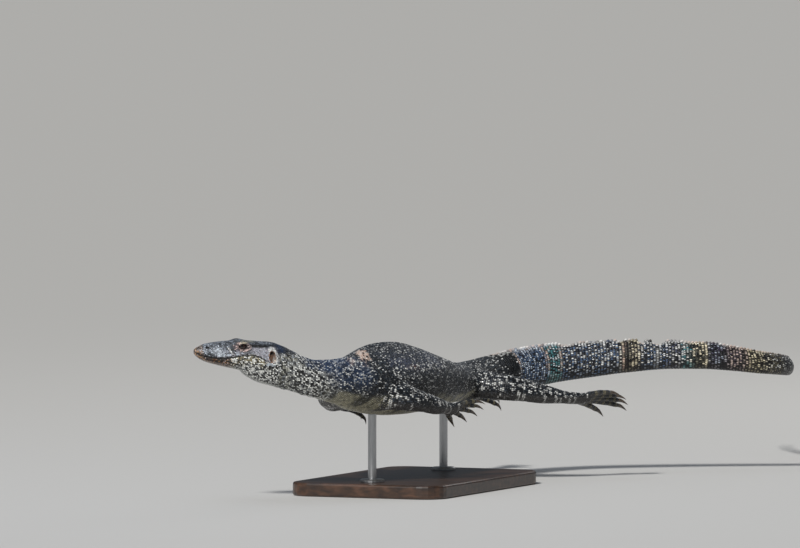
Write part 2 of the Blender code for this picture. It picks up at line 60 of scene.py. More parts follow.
# Shape of the body, in metres. Distances are measured from the snout, heights from the line that the animal
# floats at.
body = {
    "length": 1.53,
    "waterLine": 0.165,
    "snoutPlace": (-0.286, -0.280),
    # distance, degrees that the spine heads to, seen from above
    "heading": (
        (0.000, 13), (0.105, 13), (0.150, 30), (0.200, 50), (0.250, 63), (0.320, 69), (0.420, 70),
        (0.520, 66), (0.600, 58), (0.680, 48), (0.740, 32), (0.790, 14), (0.850, 8), (0.960, 7),
        (1.020, 14), (1.080, 48), (1.140, 82), (1.220, 102), (1.340, 104), (1.440, 92), (1.530, 78),
    ),
    # distance, half width, heights of the top, the side line and the underside
    "stations": (
        (0.0000, 0.0018, 0.0345, 0.0322, 0.0300), (0.0010, 0.0058, 0.0358, 0.0316, 0.0282),
        (0.0035, 0.0090, 0.0378, 0.0303, 0.0258), (0.0080, 0.0112, 0.0402, 0.0280, 0.0222),
        (0.0150, 0.0132, 0.0428, 0.0260, 0.0188), (0.0300, 0.0158, 0.0452, 0.0241, 0.0144),
        (0.0450, 0.0182, 0.0464, 0.0247, 0.0108), (0.0600, 0.0212, 0.0470, 0.0268, 0.0072),
        (0.0665, 0.0226, 0.0467, 0.0277, 0.0012), (0.0740, 0.0242, 0.0462, 0.0279, -0.0036),
        (0.0850, 0.0262, 0.0451, 0.0232, -0.0088), (0.1000, 0.0275, 0.0440, 0.0170, -0.0130),
        (0.1120, 0.0268, 0.0403, 0.0130, -0.0165),
        (0.1280, 0.0250, 0.0328, 0.0070, -0.0210), (0.1450, 0.0245, 0.0240, 0.0005, -0.0260),
        (0.1650, 0.0250, 0.0191, -0.0050, -0.0310), (0.1900, 0.0280, 0.0185, -0.0100, -0.0370),
        (0.2150, 0.0335, 0.0193, -0.0135, -0.0430), (0.2450, 0.0430, 0.0210, -0.0155, -0.0500),
        (0.2850, 0.0530, 0.0268, -0.0165, -0.0570), (0.3400, 0.0590, 0.0334, -0.0170, -0.0620),
        (0.3700, 0.0602, 0.0326, -0.0177, -0.0632), (0.4000, 0.0610, 0.0280, -0.0185, -0.0640),
        (0.4600, 0.0585, 0.0165, -0.0225, -0.0635), (0.5200, 0.0510, 0.0045, -0.0265, -0.0610),
        (0.5650, 0.0430, -0.0035, -0.0290, -0.0585), (0.6000, 0.0375, -0.0070, -0.0305, -0.0575),
        (0.6300, 0.0325, -0.0052, -0.0305, -0.0570), (0.6700, 0.0280, -0.0004, -0.0285, -0.0560),
        (0.7100, 0.0250, 0.0048, -0.0250, -0.0530), (0.7450, 0.0225, 0.0084, -0.0200, -0.0470),
        (0.7800, 0.0200, 0.0114, -0.0160, -0.0405), (0.8300, 0.0178, 0.0130, -0.0115, -0.0340),
        (0.8700, 0.0160, 0.0152, -0.0085, -0.0290), (0.9400, 0.0138, 0.0138, -0.0060, -0.0240),
        (0.9600, 0.0130, 0.0113, -0.0067, -0.0242), (0.9800, 0.0122, 0.0110, -0.0078, -0.0245),
        (1.0200, 0.0112, 0.0052, -0.0122, -0.0275), (1.0600, 0.0100, -0.0026, -0.0185, -0.0320),
        (1.1600, 0.0075, -0.0150, -0.0275, -0.0390), (1.3400, 0.0045, -0.0265, -0.0345, -0.0420),
        (1.4800, 0.0022, -0.0340, -0.0382, -0.0420), (1.5300, 0.0009, -0.0375, -0.0390, -0.0405),
    ),
    # distance, power across, power up: 1 is an ellipse, less is boxier
    "squareness": ((0.00, 0.80, 0.85), (0.12, 0.85, 0.90), (0.25, 1.03, 1.03), (0.60, 1.00, 1.00)),
    "keelStarts": 0.66,
    "keelPinch": 0.45,
    # old bites in the keel: distance, half length, depth
    "bites": (
        (0.721, 0.0035, 0.0022), (0.793, 0.0105, 0.0030), (0.867, 0.0045, 0.0028),
        (0.8955, 0.0045, 0.0050), (0.9175, 0.0092, 0.0058),
    ),
    # swellings and hollows: distance, degrees over the side line, half length, half spread, height
    "bumps": (
        (0.0585, 63, 0.0105, 13, 0.0036), (0.0340, 48, 0.0170, 12, 0.0010),
        (0.0170, 38, 0.0080, 18, 0.0006), (0.0430, 24, 0.0090, 11, -0.0010),
        (0.0612, 30, 0.0100, 12, -0.0016), (0.0860, 42, 0.0120, 18, 0.0008),
        (0.0950, 6, 0.0140, 24, 0.0016), (0.0450, 12, 0.0400, 8, 0.0008),
        (0.0450, -14, 0.0400, 8, 0.0006), (0.0500, 78, 0.0260, 9, -0.0006),
    ),
    "headEnd": 0.118,
    "mouthCorner": 0.089,
    "mouthDepth": 0.0013,
    # distance, degrees: the groove of the closed mouth narrows toward its corner
    "mouthSpread": ((0.020, 2.6), (0.085, 1.2)),
    "skinInset": 0.0005,
}

# Openings of the head: place as distance and height, half sizes along and up, in metres
head = {
    "eyePlace": (0.0612, 0.0390),
    "eyeOut": 0.0128,
    "eyeRadius": 0.0068,
    "lidThickness": 0.0013,
    "lidOpening": (0.0054, 0.0034),
    "lidPower": 1.75,
    "lidBlend": 0.0009,
    "lidFade": (0.0066, 0.0102),
    "eyeSink": 0.0012,
    "earPlace": (0.0980, 0.0256),
    "earSize": (0.0042, 0.0072),
    "earDepth": 0.0024,
    "nostrilPlace": (0.0158, 0.0378),
    "nostrilSize": (0.0021, 0.0014),
    "nostrilDepth": 0.0022,
    # rims and the hollow round the lids: height, place as a share of the opening, half width as a share
    "lidRim": (0.00045, 1.13, 0.13),
    "lidHollow": (0.0003, 1.55, 0.16),
    "earRim": (0.0005, 1.16, 0.14),
    "nostrilRim": (0.0002, 1.35, 0.22),
}

sides = {"left": 1, "right": -1}

# Limbs: root as distance, out and up; joints as back, out and up from the root; radii across and up at each
# joint; splay and roll in degrees; toes as degrees of fan and length; replaced nodes of the frame
limbs = {
    "foreleg": {
        "root": (0.262, 0.018, -0.0290),
        "joints": (
            (0.000, 0.000, 0.000), (0.013, 0.025, -0.004), (0.032, 0.040, -0.009),
            (0.053, 0.049, -0.013), (0.076, 0.054, -0.018), (0.100, 0.056, -0.022),
            (0.112, 0.057, -0.024), (0.128, 0.059, -0.026),
        ),
        "radii": (
            (0.0140, 0.0130), (0.0172, 0.0165), (0.0150, 0.0150), (0.0128, 0.0130),
            (0.0118, 0.0112), (0.0092, 0.0080), (0.0105, 0.0066), (0.0115, 0.0050),
        ),
        "splay": {"left": 0, "right": 2},
        "toes": ((-25, 0.023), (-12, 0.032), (0, 0.036), (12, 0.032), (27, 0.023)),
        "toeRadius": 0.0040,
        "claw": 0.011,
        "roll": 35,
        "replaced": ("upper_arm", "forearm", "hand"),
    },
    "hindleg": {
        "root": (0.588, 0.010, -0.0345),
        "joints": (
            (0.000, 0.000, 0.000), (0.016, 0.023, -0.001), (0.038, 0.043, -0.004),
            (0.064, 0.055, -0.008), (0.090, 0.061, -0.013), (0.117, 0.064, -0.018),
            (0.132, 0.065, -0.020), (0.158, 0.067, -0.022),
        ),
        "radii": (
            (0.0150, 0.0130), (0.0198, 0.0178), (0.0182, 0.0172), (0.0150, 0.0150),
            (0.0132, 0.0125), (0.0098, 0.0088), (0.0110, 0.0072), (0.0128, 0.0052),
        ),
        "splay": {"left": 24, "right": -2},
        "toes": ((-21, 0.026), (-11, 0.038), (-1, 0.048), (8, 0.056), (26, 0.036)),
        "toeRadius": 0.0045,
        "claw": 0.012,
        "roll": 30,
        "replaced": ("thigh", "shank", "foot"),
    },
}
# Toes: how far they start inside the sole, and the share of its width that their roots take
toeForm = {
    "sink": 0.014,
    "spread": 0.55,
    # place along, rise of the centre line, share of the toe's radius
    "flesh": (
        (0.00, 0.0000, 1.00), (0.30, 0.0012, 1.05), (0.46, 0.0015, 0.95), (0.62, 0.0016, 1.00),
        (0.78, 0.0011, 0.86), (0.90, 0.0005, 0.88), (0.97, 0.0001, 0.72), (1.01, 0.0000, 0.40),
    ),
    "claw": (
        (0.92, 0.0002, 0.62), (1.10, -0.0001, 0.62), (1.35, -0.0010, 0.50), (1.60, -0.0026, 0.36),
        (1.80, -0.0042, 0.22), (2.00, -0.0068, 0.05),
    ),
}


def smoothThrough(xs, ys):
    # cubic pieces through the points whose slopes are harmonic means, so that they never overshoot
    xs, ys = np.asarray(xs, float), np.asarray(ys, float)
    step = np.diff(xs)
    slope = np.diff(ys) / step
    product = slope[:-1] * slope[1:]
    total = np.where(product > 0, slope[:-1] + slope[1:], 1)
    lean = np.concatenate([slope[:1], np.where(product > 0, 2 * product / total, 0), slope[-1:]])

    def value(x):
        x = np.clip(np.asarray(x, float), xs[0], xs[-1])
        i = np.clip(np.searchsorted(xs, x) - 1, 0, len(xs) - 2)
        t = (x - xs[i]) / step[i]
        return (
            (1 + 2 * t) * (1 - t) ** 2 * ys[i] + t * (1 - t) ** 2 * step[i] * lean[i]
            + t * t * (3 - 2 * t) * ys[i + 1] + t * t * (t - 1) * step[i] * lean[i + 1]
        )

    return value


headingAt = smoothThrough(*zip(*body["heading"]))
halfWidth, topAt, sideLine, underside = (
    smoothThrough([row[0] for row in body["stations"]], [row[i] for row in body["stations"]])
    for i in range(1, 5)
)
spineStops = np.linspace(0, body["length"], 1531)
spineTurn = np.radians(headingAt((spineStops[1:] + spineStops[:-1]) / 2))
spineX = body["snoutPlace"][0] + np.concatenate([[0], np.cumsum(np.cos(spineTurn) * np.diff(spineStops))])
spineY = body["snoutPlace"][1] + np.concatenate([[0], np.cumsum(np.sin(spineTurn) * np.diff(spineStops))])


def spineAt(s):
    # place on the plan by summing the heading, with the directions back and to the animal's left
    turn = np.radians(headingAt(s))
    place = np.stack([np.interp(s, spineStops, spineX), np.interp(s, spineStops, spineY)], -1)
    return place, np.stack([np.cos(turn), np.sin(turn)], -1), np.stack([np.sin(turn), -np.cos(turn)], -1)


def inBody(s, out, up):
    # spine's place + left times out, at the floating line's height + up
    place, _, left = spineAt(np.asarray(s, float))
    plan = place + left * np.asarray(out)[..., None]
    height = np.broadcast_to(body["waterLine"] + np.asarray(up), plan.shape[:-1])
    return np.concatenate([plan, height[..., None]], -1)


def onSpine(points, guess, rounds=4):
    # distance along the spine whose cross plane holds each point, by Newton steps, then out and up
    s = np.array(guess, float)
    for _ in range(rounds):
        place, back, left = spineAt(s)
        s = np.clip(s + 0.8 * ((points[..., :2] - place) * back).sum(-1), 0, body["length"])
    place, _, left = spineAt(s)
    return s, ((points[..., :2] - place) * left).sum(-1), points[..., 2] - body["waterLine"]


def elevationOf(angle):
    # degrees over the side line, alike on both sides
    return 90 - np.abs(180 - np.mod(np.degrees(angle) + 90, 360))


def ramp(x, low, high):
    # 0 below low, 1 above high, and 3t2 - 2t3 between
    t = np.clip((x - low) / (high - low), 0, 1)
    return t * t * (3 - 2 * t)


def fall(x, low, high):
    # 1 below low, 0 above high: 1 less the ramp
    return 1 - ramp(x, low, high)


def mound(x, middle, half):
    # a bell, e to the minus square of the distance over its half width
    return np.exp(-(((x - middle) / half) ** 2))


def softNoise(places, size, seed):
    # values at the corners of cells of the given size, blended across each cell, between 0 and 1
    scaled = np.asarray(places, float) / size + 137.31 * seed
    corner = np.floor(scaled).astype(np.int64)
    part = scaled - corner
    part = part * part * (3 - 2 * part)
    total = np.zeros(scaled.shape[:-1])
    for step in np.ndindex(*(2,) * scaled.shape[-1]):
        share = np.prod([part[..., i] if step[i] else 1 - part[..., i] for i in range(len(step))], axis=0)
        total += share * scatter([corner[..., i] + step[i] for i in range(len(step))], seed)
    return total


def scatter(numbers, seed):
    # an even spread of values between 0 and 1 from whole numbers, by mixing their bits
    mixed = np.full(np.broadcast(*numbers).shape, 2654435761 + 97 * seed, np.uint64)
    for number in numbers:
        mixed = (mixed ^ np.asarray(number, np.int64).astype(np.uint64)) * np.uint64(0x9E3779B97F4A7C15)
        mixed = mixed ^ (mixed >> np.uint64(29))
    return (mixed >> np.uint64(40)).astype(float) / 2.0**24


def biteAt(s):
    # how deep the keel is bitten: a sum of flat-topped bells along the tail
    return sum(depth * np.exp(-(((s - place) / half) ** 4)) for place, half, depth in body["bites"])


def headRelief(s, elevation):
    # sum of bells over distance and elevation, less the groove along the closed mouth
    total = 0.0
    for place, degrees, length, spread, height in body["bumps"]:
        along, around = (s - place) / length, (elevation - degrees) / spread
        total = total + height * np.exp(-(along**2) - around**2)
    closed = np.clip((body["mouthCorner"] - s) / 0.004, 0, 1) * np.clip(s / 0.002, 0, 1)
    spread = np.interp(s, *zip(*body["mouthSpread"]))
    return total - body["mouthDepth"] * closed * mound(elevation, 0, spread)


def folds(s, angle, elevation):
    # loose skin: cross wrinkles where the neck bends and a fold behind the jaw, as waves that noise breaks up
    around = np.stack([np.asarray(s, float) * 30, np.cos(angle) * 1.6, np.sin(angle) * 1.6], -1)
    drift = softNoise(around, 0.6, 3)
    loose = ramp(s, 0.095, 0.125) * fall(s, 0.225, 0.290) * (1 - 0.65 * ramp(elevation, 25, 60))
    wrinkles = 0.0006 * loose * (np.sin(math.tau * s / 0.0135 + 5 * drift) * (0.4 + 0.6 * drift))
    gular = 0.0009 * mound(s, 0.134 + 0.0003 * (elevation + 40) / 4, 0.0045) * ramp(-elevation, -35, 10)
    flank = 0.0004 * ramp(s, 0.24, 0.30) * fall(s, 0.60, 0.66) * ramp(-elevation, -30, 5)
    return wrinkles - gular + flank * np.sin(math.tau * s / 0.021 + 7 * drift) * drift


def plainTube(s, angle, grow):
    # out = half width cos^p and up = rise sin^q from the side line, both pushed out by relief + grow,
    # less the bites times sin^4
    across, upwards = np.cos(angle), np.sin(angle)
    places, powersOut, powersUp = zip(*body["squareness"])
    powerOut, powerUp = np.interp(s, places, powersOut), np.interp(s, places, powersUp)
    side = sideLine(s)
    rise = np.where(upwards > 0, topAt(s) - side, side - underside(s))
    elevation = elevationOf(angle)
    extra = grow + folds(s, angle, elevation) + np.where(s < 0.135, headRelief(s, elevation), 0.0)
    keel = np.clip((s - body["keelStarts"]) / 0.10, 0, 1) * body["keelPinch"]
    pinch = 1 - keel * np.clip(upwards, 0, 1) ** 2
    out = halfWidth(s) * pinch * np.sign(across) * np.abs(across) ** powerOut + extra * across
    up = side + rise * np.sign(upwards) * np.abs(upwards) ** powerUp + extra * upwards
    return out, up - biteAt(s) * np.clip(upwards, 0, 1) ** 4


def limbLine(limb, side):
    # smooth curves through the joints, with the directions ahead, across and up and the two radii
    sign = sides[side]
    s, out, up = limb["root"]
    root = inBody(s, sign * out, up)
    _, back, left = spineAt(np.array(s))
    splay = math.radians(limb["splay"][side])
    bodyBack, bodyOut = np.array((*back, 0)), np.array((*left, 0)) * sign
    limbBack = bodyBack * math.cos(splay) + bodyOut * math.sin(splay)
    limbOut = bodyOut * math.cos(splay) - bodyBack * math.sin(splay)
    world = root + np.array(limb["joints"]) @ np.array([limbBack, limbOut, (0, 0, 1)])
    number = np.arange(len(world))
    axes = [smoothThrough(number, world[:, i]) for i in range(3)]
    radii = [smoothThrough(number, [row[i] for row in limb["radii"]]) for i in range(2)]

    def place(t):
        return np.stack([axis(t) for axis in axes], -1)

    def directions(t):
        ahead = place(np.minimum(t + 0.02, number[-1])) - place(np.maximum(t - 0.02, 0))
        ahead = ahead / np.linalg.norm(ahead, axis=-1, keepdims=True)
        across = np.cross((0, 0, 1), ahead) * sign
        across = across / np.linalg.norm(across, axis=-1, keepdims=True)
        upward = np.cross(ahead, across) * sign
        roll = np.radians(limb["roll"]) * np.clip((t - 3) / 3, 0, 1)[..., None]
        turned = across * np.cos(roll) - upward * np.sin(roll)
        return ahead, turned, upward * np.cos(roll) + across * np.sin(roll)

    return place, directions, radii


# Centre lines of the four limbs, sampled once: name, side, places, radii and numbers along them
limbNumbers = np.linspace(0, 7, 71)
limbLines = {}
for limbName, limb in limbs.items():
    for side in sides:
        place, directions, radii = limbLine(limb, side)
        limbLines[limbName, side] = {
            "place": place, "directions": directions, "radii": radii,
            "samples": place(limbNumbers),
            "thick": (radii[0](limbNumbers) + radii[1](limbNumbers)) / 2,
        }


def offLimb(points, line, last=71):
    # least distance from the sampled centre line less the radius there, and the number along the limb
    far = np.linalg.norm(points[..., None, :] - line["samples"][:last], axis=-1) - line["thick"][:last]
    nearest = far.argmin(-1)
    return np.take_along_axis(far, nearest[..., None], -1)[..., 0], limbNumbers[nearest]


filletReach = 0.016


def fillet(gap):
    # the rise of one form near another: a quarter of the reach where they meet, none a reach away
    return filletReach / 4 * (1 - np.clip(gap / filletReach, 0, 1)) ** 2


def bodySkin(s, angle, grow=0.0):
    # the plain tube, raised near the limb roots, with lids round the eyes, ears and nostrils sunk in
    s, angle, grow = np.broadcast_arrays(np.asarray(s, float), np.asarray(angle, float), grow)
    out, up = plainTube(s, angle, grow)
    for limbName, limb in limbs.items():
        near = (np.abs(s - limb["root"][0] - 0.02) < 0.075) & (elevationOf(angle) < 60)
        if near.any():
            for side, sign in sides.items():
                mine = near & (np.sign(np.cos(angle)) == sign)
                points = inBody(s[mine], out[mine], up[mine])
                gap = np.concatenate([
                    offLimb(part, limbLines[limbName, side], 36)[0]
                    for part in np.array_split(points, max(1, len(points) // 20000))
                ])
                rise = fillet(gap)
                out[mine] += rise * np.cos(angle[mine])
                up[mine] += rise * np.sin(angle[mine])
    return inBody(s, *headOpenings(s, out, up, grow))


def ring(along, up, size, power=2.0):
    # 1 on the edge of the opening, less inside, more outside
    return ((np.abs(along) / size[0]) ** power + (np.abs(up) / size[1]) ** power) ** (1 / power)


def rimOf(edge, name):
    # the rim's height times a bell over the distance from the opening's edge
    height, place, half = head[name]
    return height * mound(edge, place, half)


def headOpenings(s, out, up, grow):
    # lids: the skin takes the larger of itself and a ball a lid's thickness over the eye, blended, with a
    # rim; inside an opening it sinks by a smooth step of the distance in from the edge
    sign = np.where(out < 0, -1.0, 1.0)
    out = np.abs(out)
    along, height = s - head["eyePlace"][0], up - head["eyePlace"][1]
    near = (np.abs(along) < 0.013) & (np.abs(height) < 0.012) & (out > 0.004)
    ballOut = np.sqrt(np.clip(head["eyeRadius"] ** 2 - along**2 - height**2, 1e-9, None))
    lidRadius = head["eyeRadius"] + head["lidThickness"] + grow
    lidOut = np.sqrt(np.clip(lidRadius**2 - along**2 - height**2, 0, None)) + head["eyeOut"]
    edge = ring(along, height, head["lidOpening"], head["lidPower"])
    blend = head["lidBlend"]
    soft = np.clip(0.5 + 0.5 * (lidOut - out) / blend, 0, 1)
    lidded = out + (lidOut - out) * soft + blend * soft * (1 - soft)
    lidded = lidded + rimOf(edge, "lidRim") - rimOf(edge, "lidHollow")
    fade = fall(np.hypot(along, height), *head["lidFade"])
    lidded = out + (lidded - out) * fade * ramp(out, 0.004, 0.009)
    sunk = head["eyeOut"] + ballOut - head["eyeSink"]
    lidded = np.where(edge < 1, sunk + (lidded - sunk) * ramp(edge, 0.90, 1.0), lidded)
    out = np.where(near, lidded, out)
    along, height = s - head["earPlace"][0], up - head["earPlace"][1]
    edge = ring(along, height, head["earSize"])
    depth = head["earDepth"] * fall(edge, 0.72, 1.02) * (1 + 0.7 * mound(height, 0.004, 0.0022))
    out = out - np.where(edge < 1.3, depth, 0) + rimOf(edge, "earRim")
    along, height = s - head["nostrilPlace"][0], up - head["nostrilPlace"][1]
    edge = ring(along, height, head["nostrilSize"])
    depth = head["nostrilDepth"] * fall(edge, 0.55, 1.05)
    out = out - np.where(edge < 1.4, depth, 0) + rimOf(edge, "nostrilRim")
    return out * sign, up


def insideOpenings(s, up):
    # true within an opening of the head, where no scale grows
    along, height = s - head["eyePlace"][0], up - head["eyePlace"][1]
    eye = ring(along, height, head["lidOpening"], head["lidPower"]) < 1.04
    ear = ring(s - head["earPlace"][0], up - head["earPlace"][1], head["earSize"]) < 0.96
    nostril = ring(s - head["nostrilPlace"][0], up - head["nostrilPlace"][1], head["nostrilSize"]) < 1.0
    return eye | ear | nostril


def bodyGap(points, guess):
    # how far a point lies over the trunk: the section's radial ratio less 1, times its mean radius
    s, out, up = onSpine(points, np.full(points.shape[:-1], guess))
    side = sideLine(s)
    rise = np.where(up > side, topAt(s) - side, side - underside(s))
    ratio = np.hypot(out / halfWidth(s), (up - side) / rise)
    return (ratio - 1) * np.sqrt(halfWidth(s) * rise)


def limbSkin(limbName, side):
    # function of distance and turn: centre + across wide cos + up high sin, raised near the trunk
    line, limb = limbLines[limbName, side], limbs[limbName]
    numbers = np.linspace(0, 7, 281)
    steps = np.linalg.norm(np.diff(line["place"](numbers), axis=0), axis=1)
    lengths = np.concatenate([[0], np.cumsum(steps)])

    def surface(distance, turn, grow=0.0):
        t = np.interp(distance, lengths, numbers)
        centre = line["place"](t)
        _, across, up = line["directions"](t)
        # muscles: the calf and the upper arm swell on their rear faces
        swell = 0.0010 * mound(t, 1.9, 0.9) * np.cos(turn - 2.6)
        swell = swell + 0.0012 * mound(t, 3.9, 0.7) * np.cos(turn + 2.4)
        creases = -0.0007 * (mound(t, 3.05, 0.10) + mound(t, 2.75, 0.08)) * (0.5 - 0.5 * np.cos(turn))
        wide, high = line["radii"][0](t) + swell + creases, line["radii"][1](t) + swell + creases
        plain = centre + across * (wide * np.cos(turn))[..., None] + up * (high * np.sin(turn))[..., None]
        rise = np.zeros(np.shape(t * turn))
        flat = np.broadcast_to(t < 3, rise.shape)
        rise[flat] = fillet(bodyGap(plain[flat], limb["root"][0] + 0.01))
        extra = grow + rise
        return plain + across * (extra * np.cos(turn))[..., None] + up * (extra * np.sin(turn))[..., None]

    return surface, lengths[-1]


def toeLines(limbName, side):
    # root, direction, sideways, up and length of each toe, fanned out from the front of the sole
    limb, line = limbs[limbName], limbLines[limbName, side]
    end = np.array([7.0])
    ahead, across, up = (direction[0] for direction in line["directions"](end))
    front = line["place"](end)[0]
    spread = float(line["radii"][0](end)[0]) * toeForm["spread"]
    made = []
    for number, (fan, length) in enumerate(limb["toes"]):
        turn = math.radians(fan)
        along = ahead * math.cos(turn) + across * math.sin(turn)
        sideways = across * math.cos(turn) - ahead * math.sin(turn)
        root = front + across * spread * (number - 2) / 2 - ahead * toeForm["sink"]
        made.append((root, along, sideways, up, length))
    return made


def toeSkin(limb, toe, form):
    # function of place and turn: root + reach along the toe + rise, with a circle a little flattened
    root, along, sideways, up, length = toe
    rise, thick = (smoothThrough([row[0] for row in form], [row[i] for row in form]) for i in (1, 2))

    def surface(place, turn, grow=0.0):
        reach = np.minimum(place, 1) * (length + toeForm["sink"]) + np.maximum(place - 1, 0) * limb["claw"]
        radius = thick(place) * limb["toeRadius"] + grow
        centre = root + reach[..., None] * along + rise(place)[..., None] * up
        circle = sideways * np.cos(turn)[..., None] + up * (0.85 * np.sin(turn))[..., None]
        return centre + radius[..., None] * circle

    return surface


# Colours of the living animal, and of the painted sheen and glints on its wet skin, as sRGB
palette = {
    "black": "#07080A",
    "slate": "#181D23",
    "slateLight": "#474F58",
    "neckBlue": "#2D3E5A",
    "blueGrey": "#A0A8B4",
    "sheen": "#D3DEEA",
    "glint": "#E9F2FB",
    "tailBlue": "#465B78",
    "tailViolet": "#42475F",
    "teal": "#447A7F",
    "dot": "#EEEEEA",
    "warmDot": "#EFE3C4",
    "yellow": "#8D8468",
    "bark": "#4B4337",
    "paintedFlankSheen": "#4E566B",
    "throat": "#F0F1EC",
    "tan": "#CBA58B",
    "gold": "#D09A62",
    "scar": "#D0B5A5",
    "plum": "#50464E",
    "tipTan": "#A8917A",
    "orange": "#8A5A34",
    "pink": "#D3BBB5",
    "rimPink": "#CDB9AE",
    "olive": "#4C4B41",
    "moss": "#86867A",
    "lilac": "#AFADB6",
    "purple": "#3F3C4D",
    "belly": "#BDB89E",
    "palm": "#5D5A57",
}


def linearColour(code):
    # sRGB hex to linear light: below 0.04045 divided by 12.92, else ((c + 0.055) / 1.055) to the 2.4
    parts = np.array([int(code[i:i + 2], 16) / 255 for i in (1, 3, 5)])
    return np.where(parts < 0.04045, parts / 12.92, ((parts + 0.055) / 1.055) ** 2.4)


palette = {name: linearColour(code) for name, code in palette.items()}


def blendTo(colour, name, amount):
    # moves colours toward a named one, or toward an array of others, by an amount from 0 to 1
    goal = palette[name] if isinstance(name, str) else name
    return colour + (goal - colour) * np.clip(amount, 0, 1)[..., None]


def layered(colour, *layers):
    # each layer, a colour and its amount, is blended over those before it
    for name, amount in layers:
        colour = blendTo(colour, name, amount)
    return colour


def allOver(name, like):
    # one colour of the palette for every place
    return np.broadcast_to(palette[name], (*np.shape(like), 3))


def coloursAlong(s, rows):
    # colours between those named at their places along the body
    places, names = zip(*rows)
    return np.stack([np.interp(s, places, [palette[name][i] for name in names]) for i in range(3)], -1)


def dotField(along, around, radius, chance, seed):
    # a dot's centre lies somewhere in each cell, and the mask falls off over the rim of its radius
    cell = np.floor(along), np.floor(around)
    mask = np.zeros(np.shape(along))
    for i in (-1, 0, 1):
        for j in (-1, 0, 1):
            spot = (cell[0] + i).astype(int), (cell[1] + j).astype(int)
            x = spot[0] + 0.5 + 0.36 * (scatter(spot, seed) - 0.5)
            y = spot[1] + 0.5 + 0.60 * (scatter(spot, seed + 1) - 0.5)
            size = radius * (0.65 + 0.7 * scatter(spot, seed + 2))
            there = scatter(spot, seed + 3) < chance
            reach = np.hypot(along - x, around - y)
            mask = np.maximum(mask, there * fall(reach, 0.75 * size, 1.15 * size))
    return mask


def fieldsAt(s, out, up, elevation, places, fleck):
    # what the markings are made from: the place on the body, noise in clouds, grains and fine specks, and
    # two more random numbers of each scale. Hand shifts the cells of dots, so that right isn't left's
    # mirror image, and arc is the distance round the section from its top.
    width = np.sqrt(halfWidth(s) * np.maximum(topAt(s) - sideLine(s), 0.008) * 1.6)
    return {
        "s": s, "out": out, "up": up, "elevation": elevation, "places": places, "fleck": fleck,
        "cloud": softNoise(places, 0.014, 1), "grain": softNoise(places, 0.0042, 2),
        "fine": softNoise(places, 0.0021, 3),
        "other": np.mod(fleck * 17.31, 1), "third": np.mod(fleck * 5.7, 1),
        "hand": np.where(out < 0, 7, 0), "arc": (90 - elevation) / 57.3 * width,
    }


def pick(at, names):
    # the named fields of a place, in the order asked for
    return [at[name] for name in names.split()]


# The pitted scar on the left shoulder. It leans in by a share of the distance from a place. The patch, and
# the trail before it: centre and half sizes as distance and slant. Pits: cell's sizes, radius and chance.
scarForm = {
    "lean": (0.62, 0.2530),
    "patch": (0.2580, 0.0085, 0.0330, 0.0094),
    "trail": (0.2175, -0.0100, 0.0120, 0.0066),
    "pits": (0.0130, 0.0055, 0.30, 0.62),
}


def scarMarks(at):
    # the share of scar, a patch and a trail whose edges noise breaks up, and the share of pits in it
    s, out, elevation, grain, fine = pick(at, "s out elevation grain fine")
    share, start = scarForm["lean"]
    slant = out + share * (s - start)
    middle, over, half, halfOver = scarForm["patch"]
    patch = np.hypot((s - middle) / half, (slant - over) / halfOver)
    patch = patch + 0.9 * (grain - 0.5) + 0.5 * (fine - 0.5)
    middle, over, half, halfOver = scarForm["trail"]
    trail = np.hypot((s - middle) / half, (slant - over) / halfOver) + 1.0 * (fine - 0.5)
    cell, cellOver, radius, chance = scarForm["pits"]
    pits = dotField(s / cell, slant / cellOver, radius, chance, 33)
    return fall(np.minimum(patch, trail), 0.75, 1.05) * (elevation > 40), pits


def trunkMarks(at):
    # slate with fine pale dots in cross rows, larger ones low on the flank, a painted blue-grey sheen
    # on the flank's middle, a pale belly with dark bars, and the scar: the colours, the share of pale dot
    # in each, and that of belly
    s, up, elevation, places, fleck = pick(at, "s up elevation places fleck")
    cloud, grain, fine, other, third, hand, arc = pick(at, "cloud grain fine other third hand arc")
    # painted sheen: a cloud of blue-grey reflected light over the middle of the flank
    paintedFlankSheen = mound(up, 0.009, 0.012) * ramp(s, 0.255, 0.29) * fall(s, 0.39, 0.45) * (0.4 + 0.6 * cloud)
    pale = dotField(s / 0.0046, arc / 0.0044 + hand, 0.22, 0.78, 11) * (0.35 + 0.65 * ramp(cloud, 0.30, 0.55))
    pale = np.maximum(pale, ramp(other, 0.89, 0.92)) * (0.30 + 0.70 * ramp(third, 0.10, 0.80))
    flank = dotField(s / 0.0105, (up - 0.0005) / 0.0075 + hand, 0.17, 0.85, 21)
    flank = flank * ramp(s, 0.225, 0.245) * fall(s, 0.50, 0.58) * mound(up, 0.0020, 0.0050)
    rust = mound(s, 0.318, 0.013) * mound(up, 0.0035, 0.0028) * ramp(fine, 0.35, 0.55)
    edge = 24 + 22 * (softNoise(places, 0.020, 5) - 0.5)
    low = ramp(-elevation, edge - 4, edge + 12) * ramp(s, 0.12, 0.16)
    wave = np.sin(math.tau * s / 0.044 + 2.5 * softNoise(places, 0.03, 6))
    bars = ramp(wave, 0.25, 0.75) * fall(-elevation, 55, 85)
    scar, pits = scarMarks(at)
    colour = layered(
        allOver("slate", s),
        ("black", 0.75 * ramp(cloud, 0.40, 0.75)),
        ("slateLight", 0.5 * ramp(fleck, 0.60, 1.0)),
        ("paintedFlankSheen", 0.85 * paintedFlankSheen * (1 - 0.8 * ramp(third, 0.60, 0.70))),
        ("dot", 0.95 * ramp(flank, 0.25, 0.5)),
        ("orange", 0.45 * rust),
        ("belly", 0.85 * low * (1 - 0.8 * bars) * (1 - 0.45 * ramp(grain, 0.55, 0.8))),
        ("scar", 0.97 * scar * (1 - 0.97 * pits)),
        ("throat", 0.5 * scar * ramp(third, 0.60, 0.80) * (1 - pits)),
        ("black", 0.94 * scar * pits),
    )
    return colour, pale * (1 - scar), low


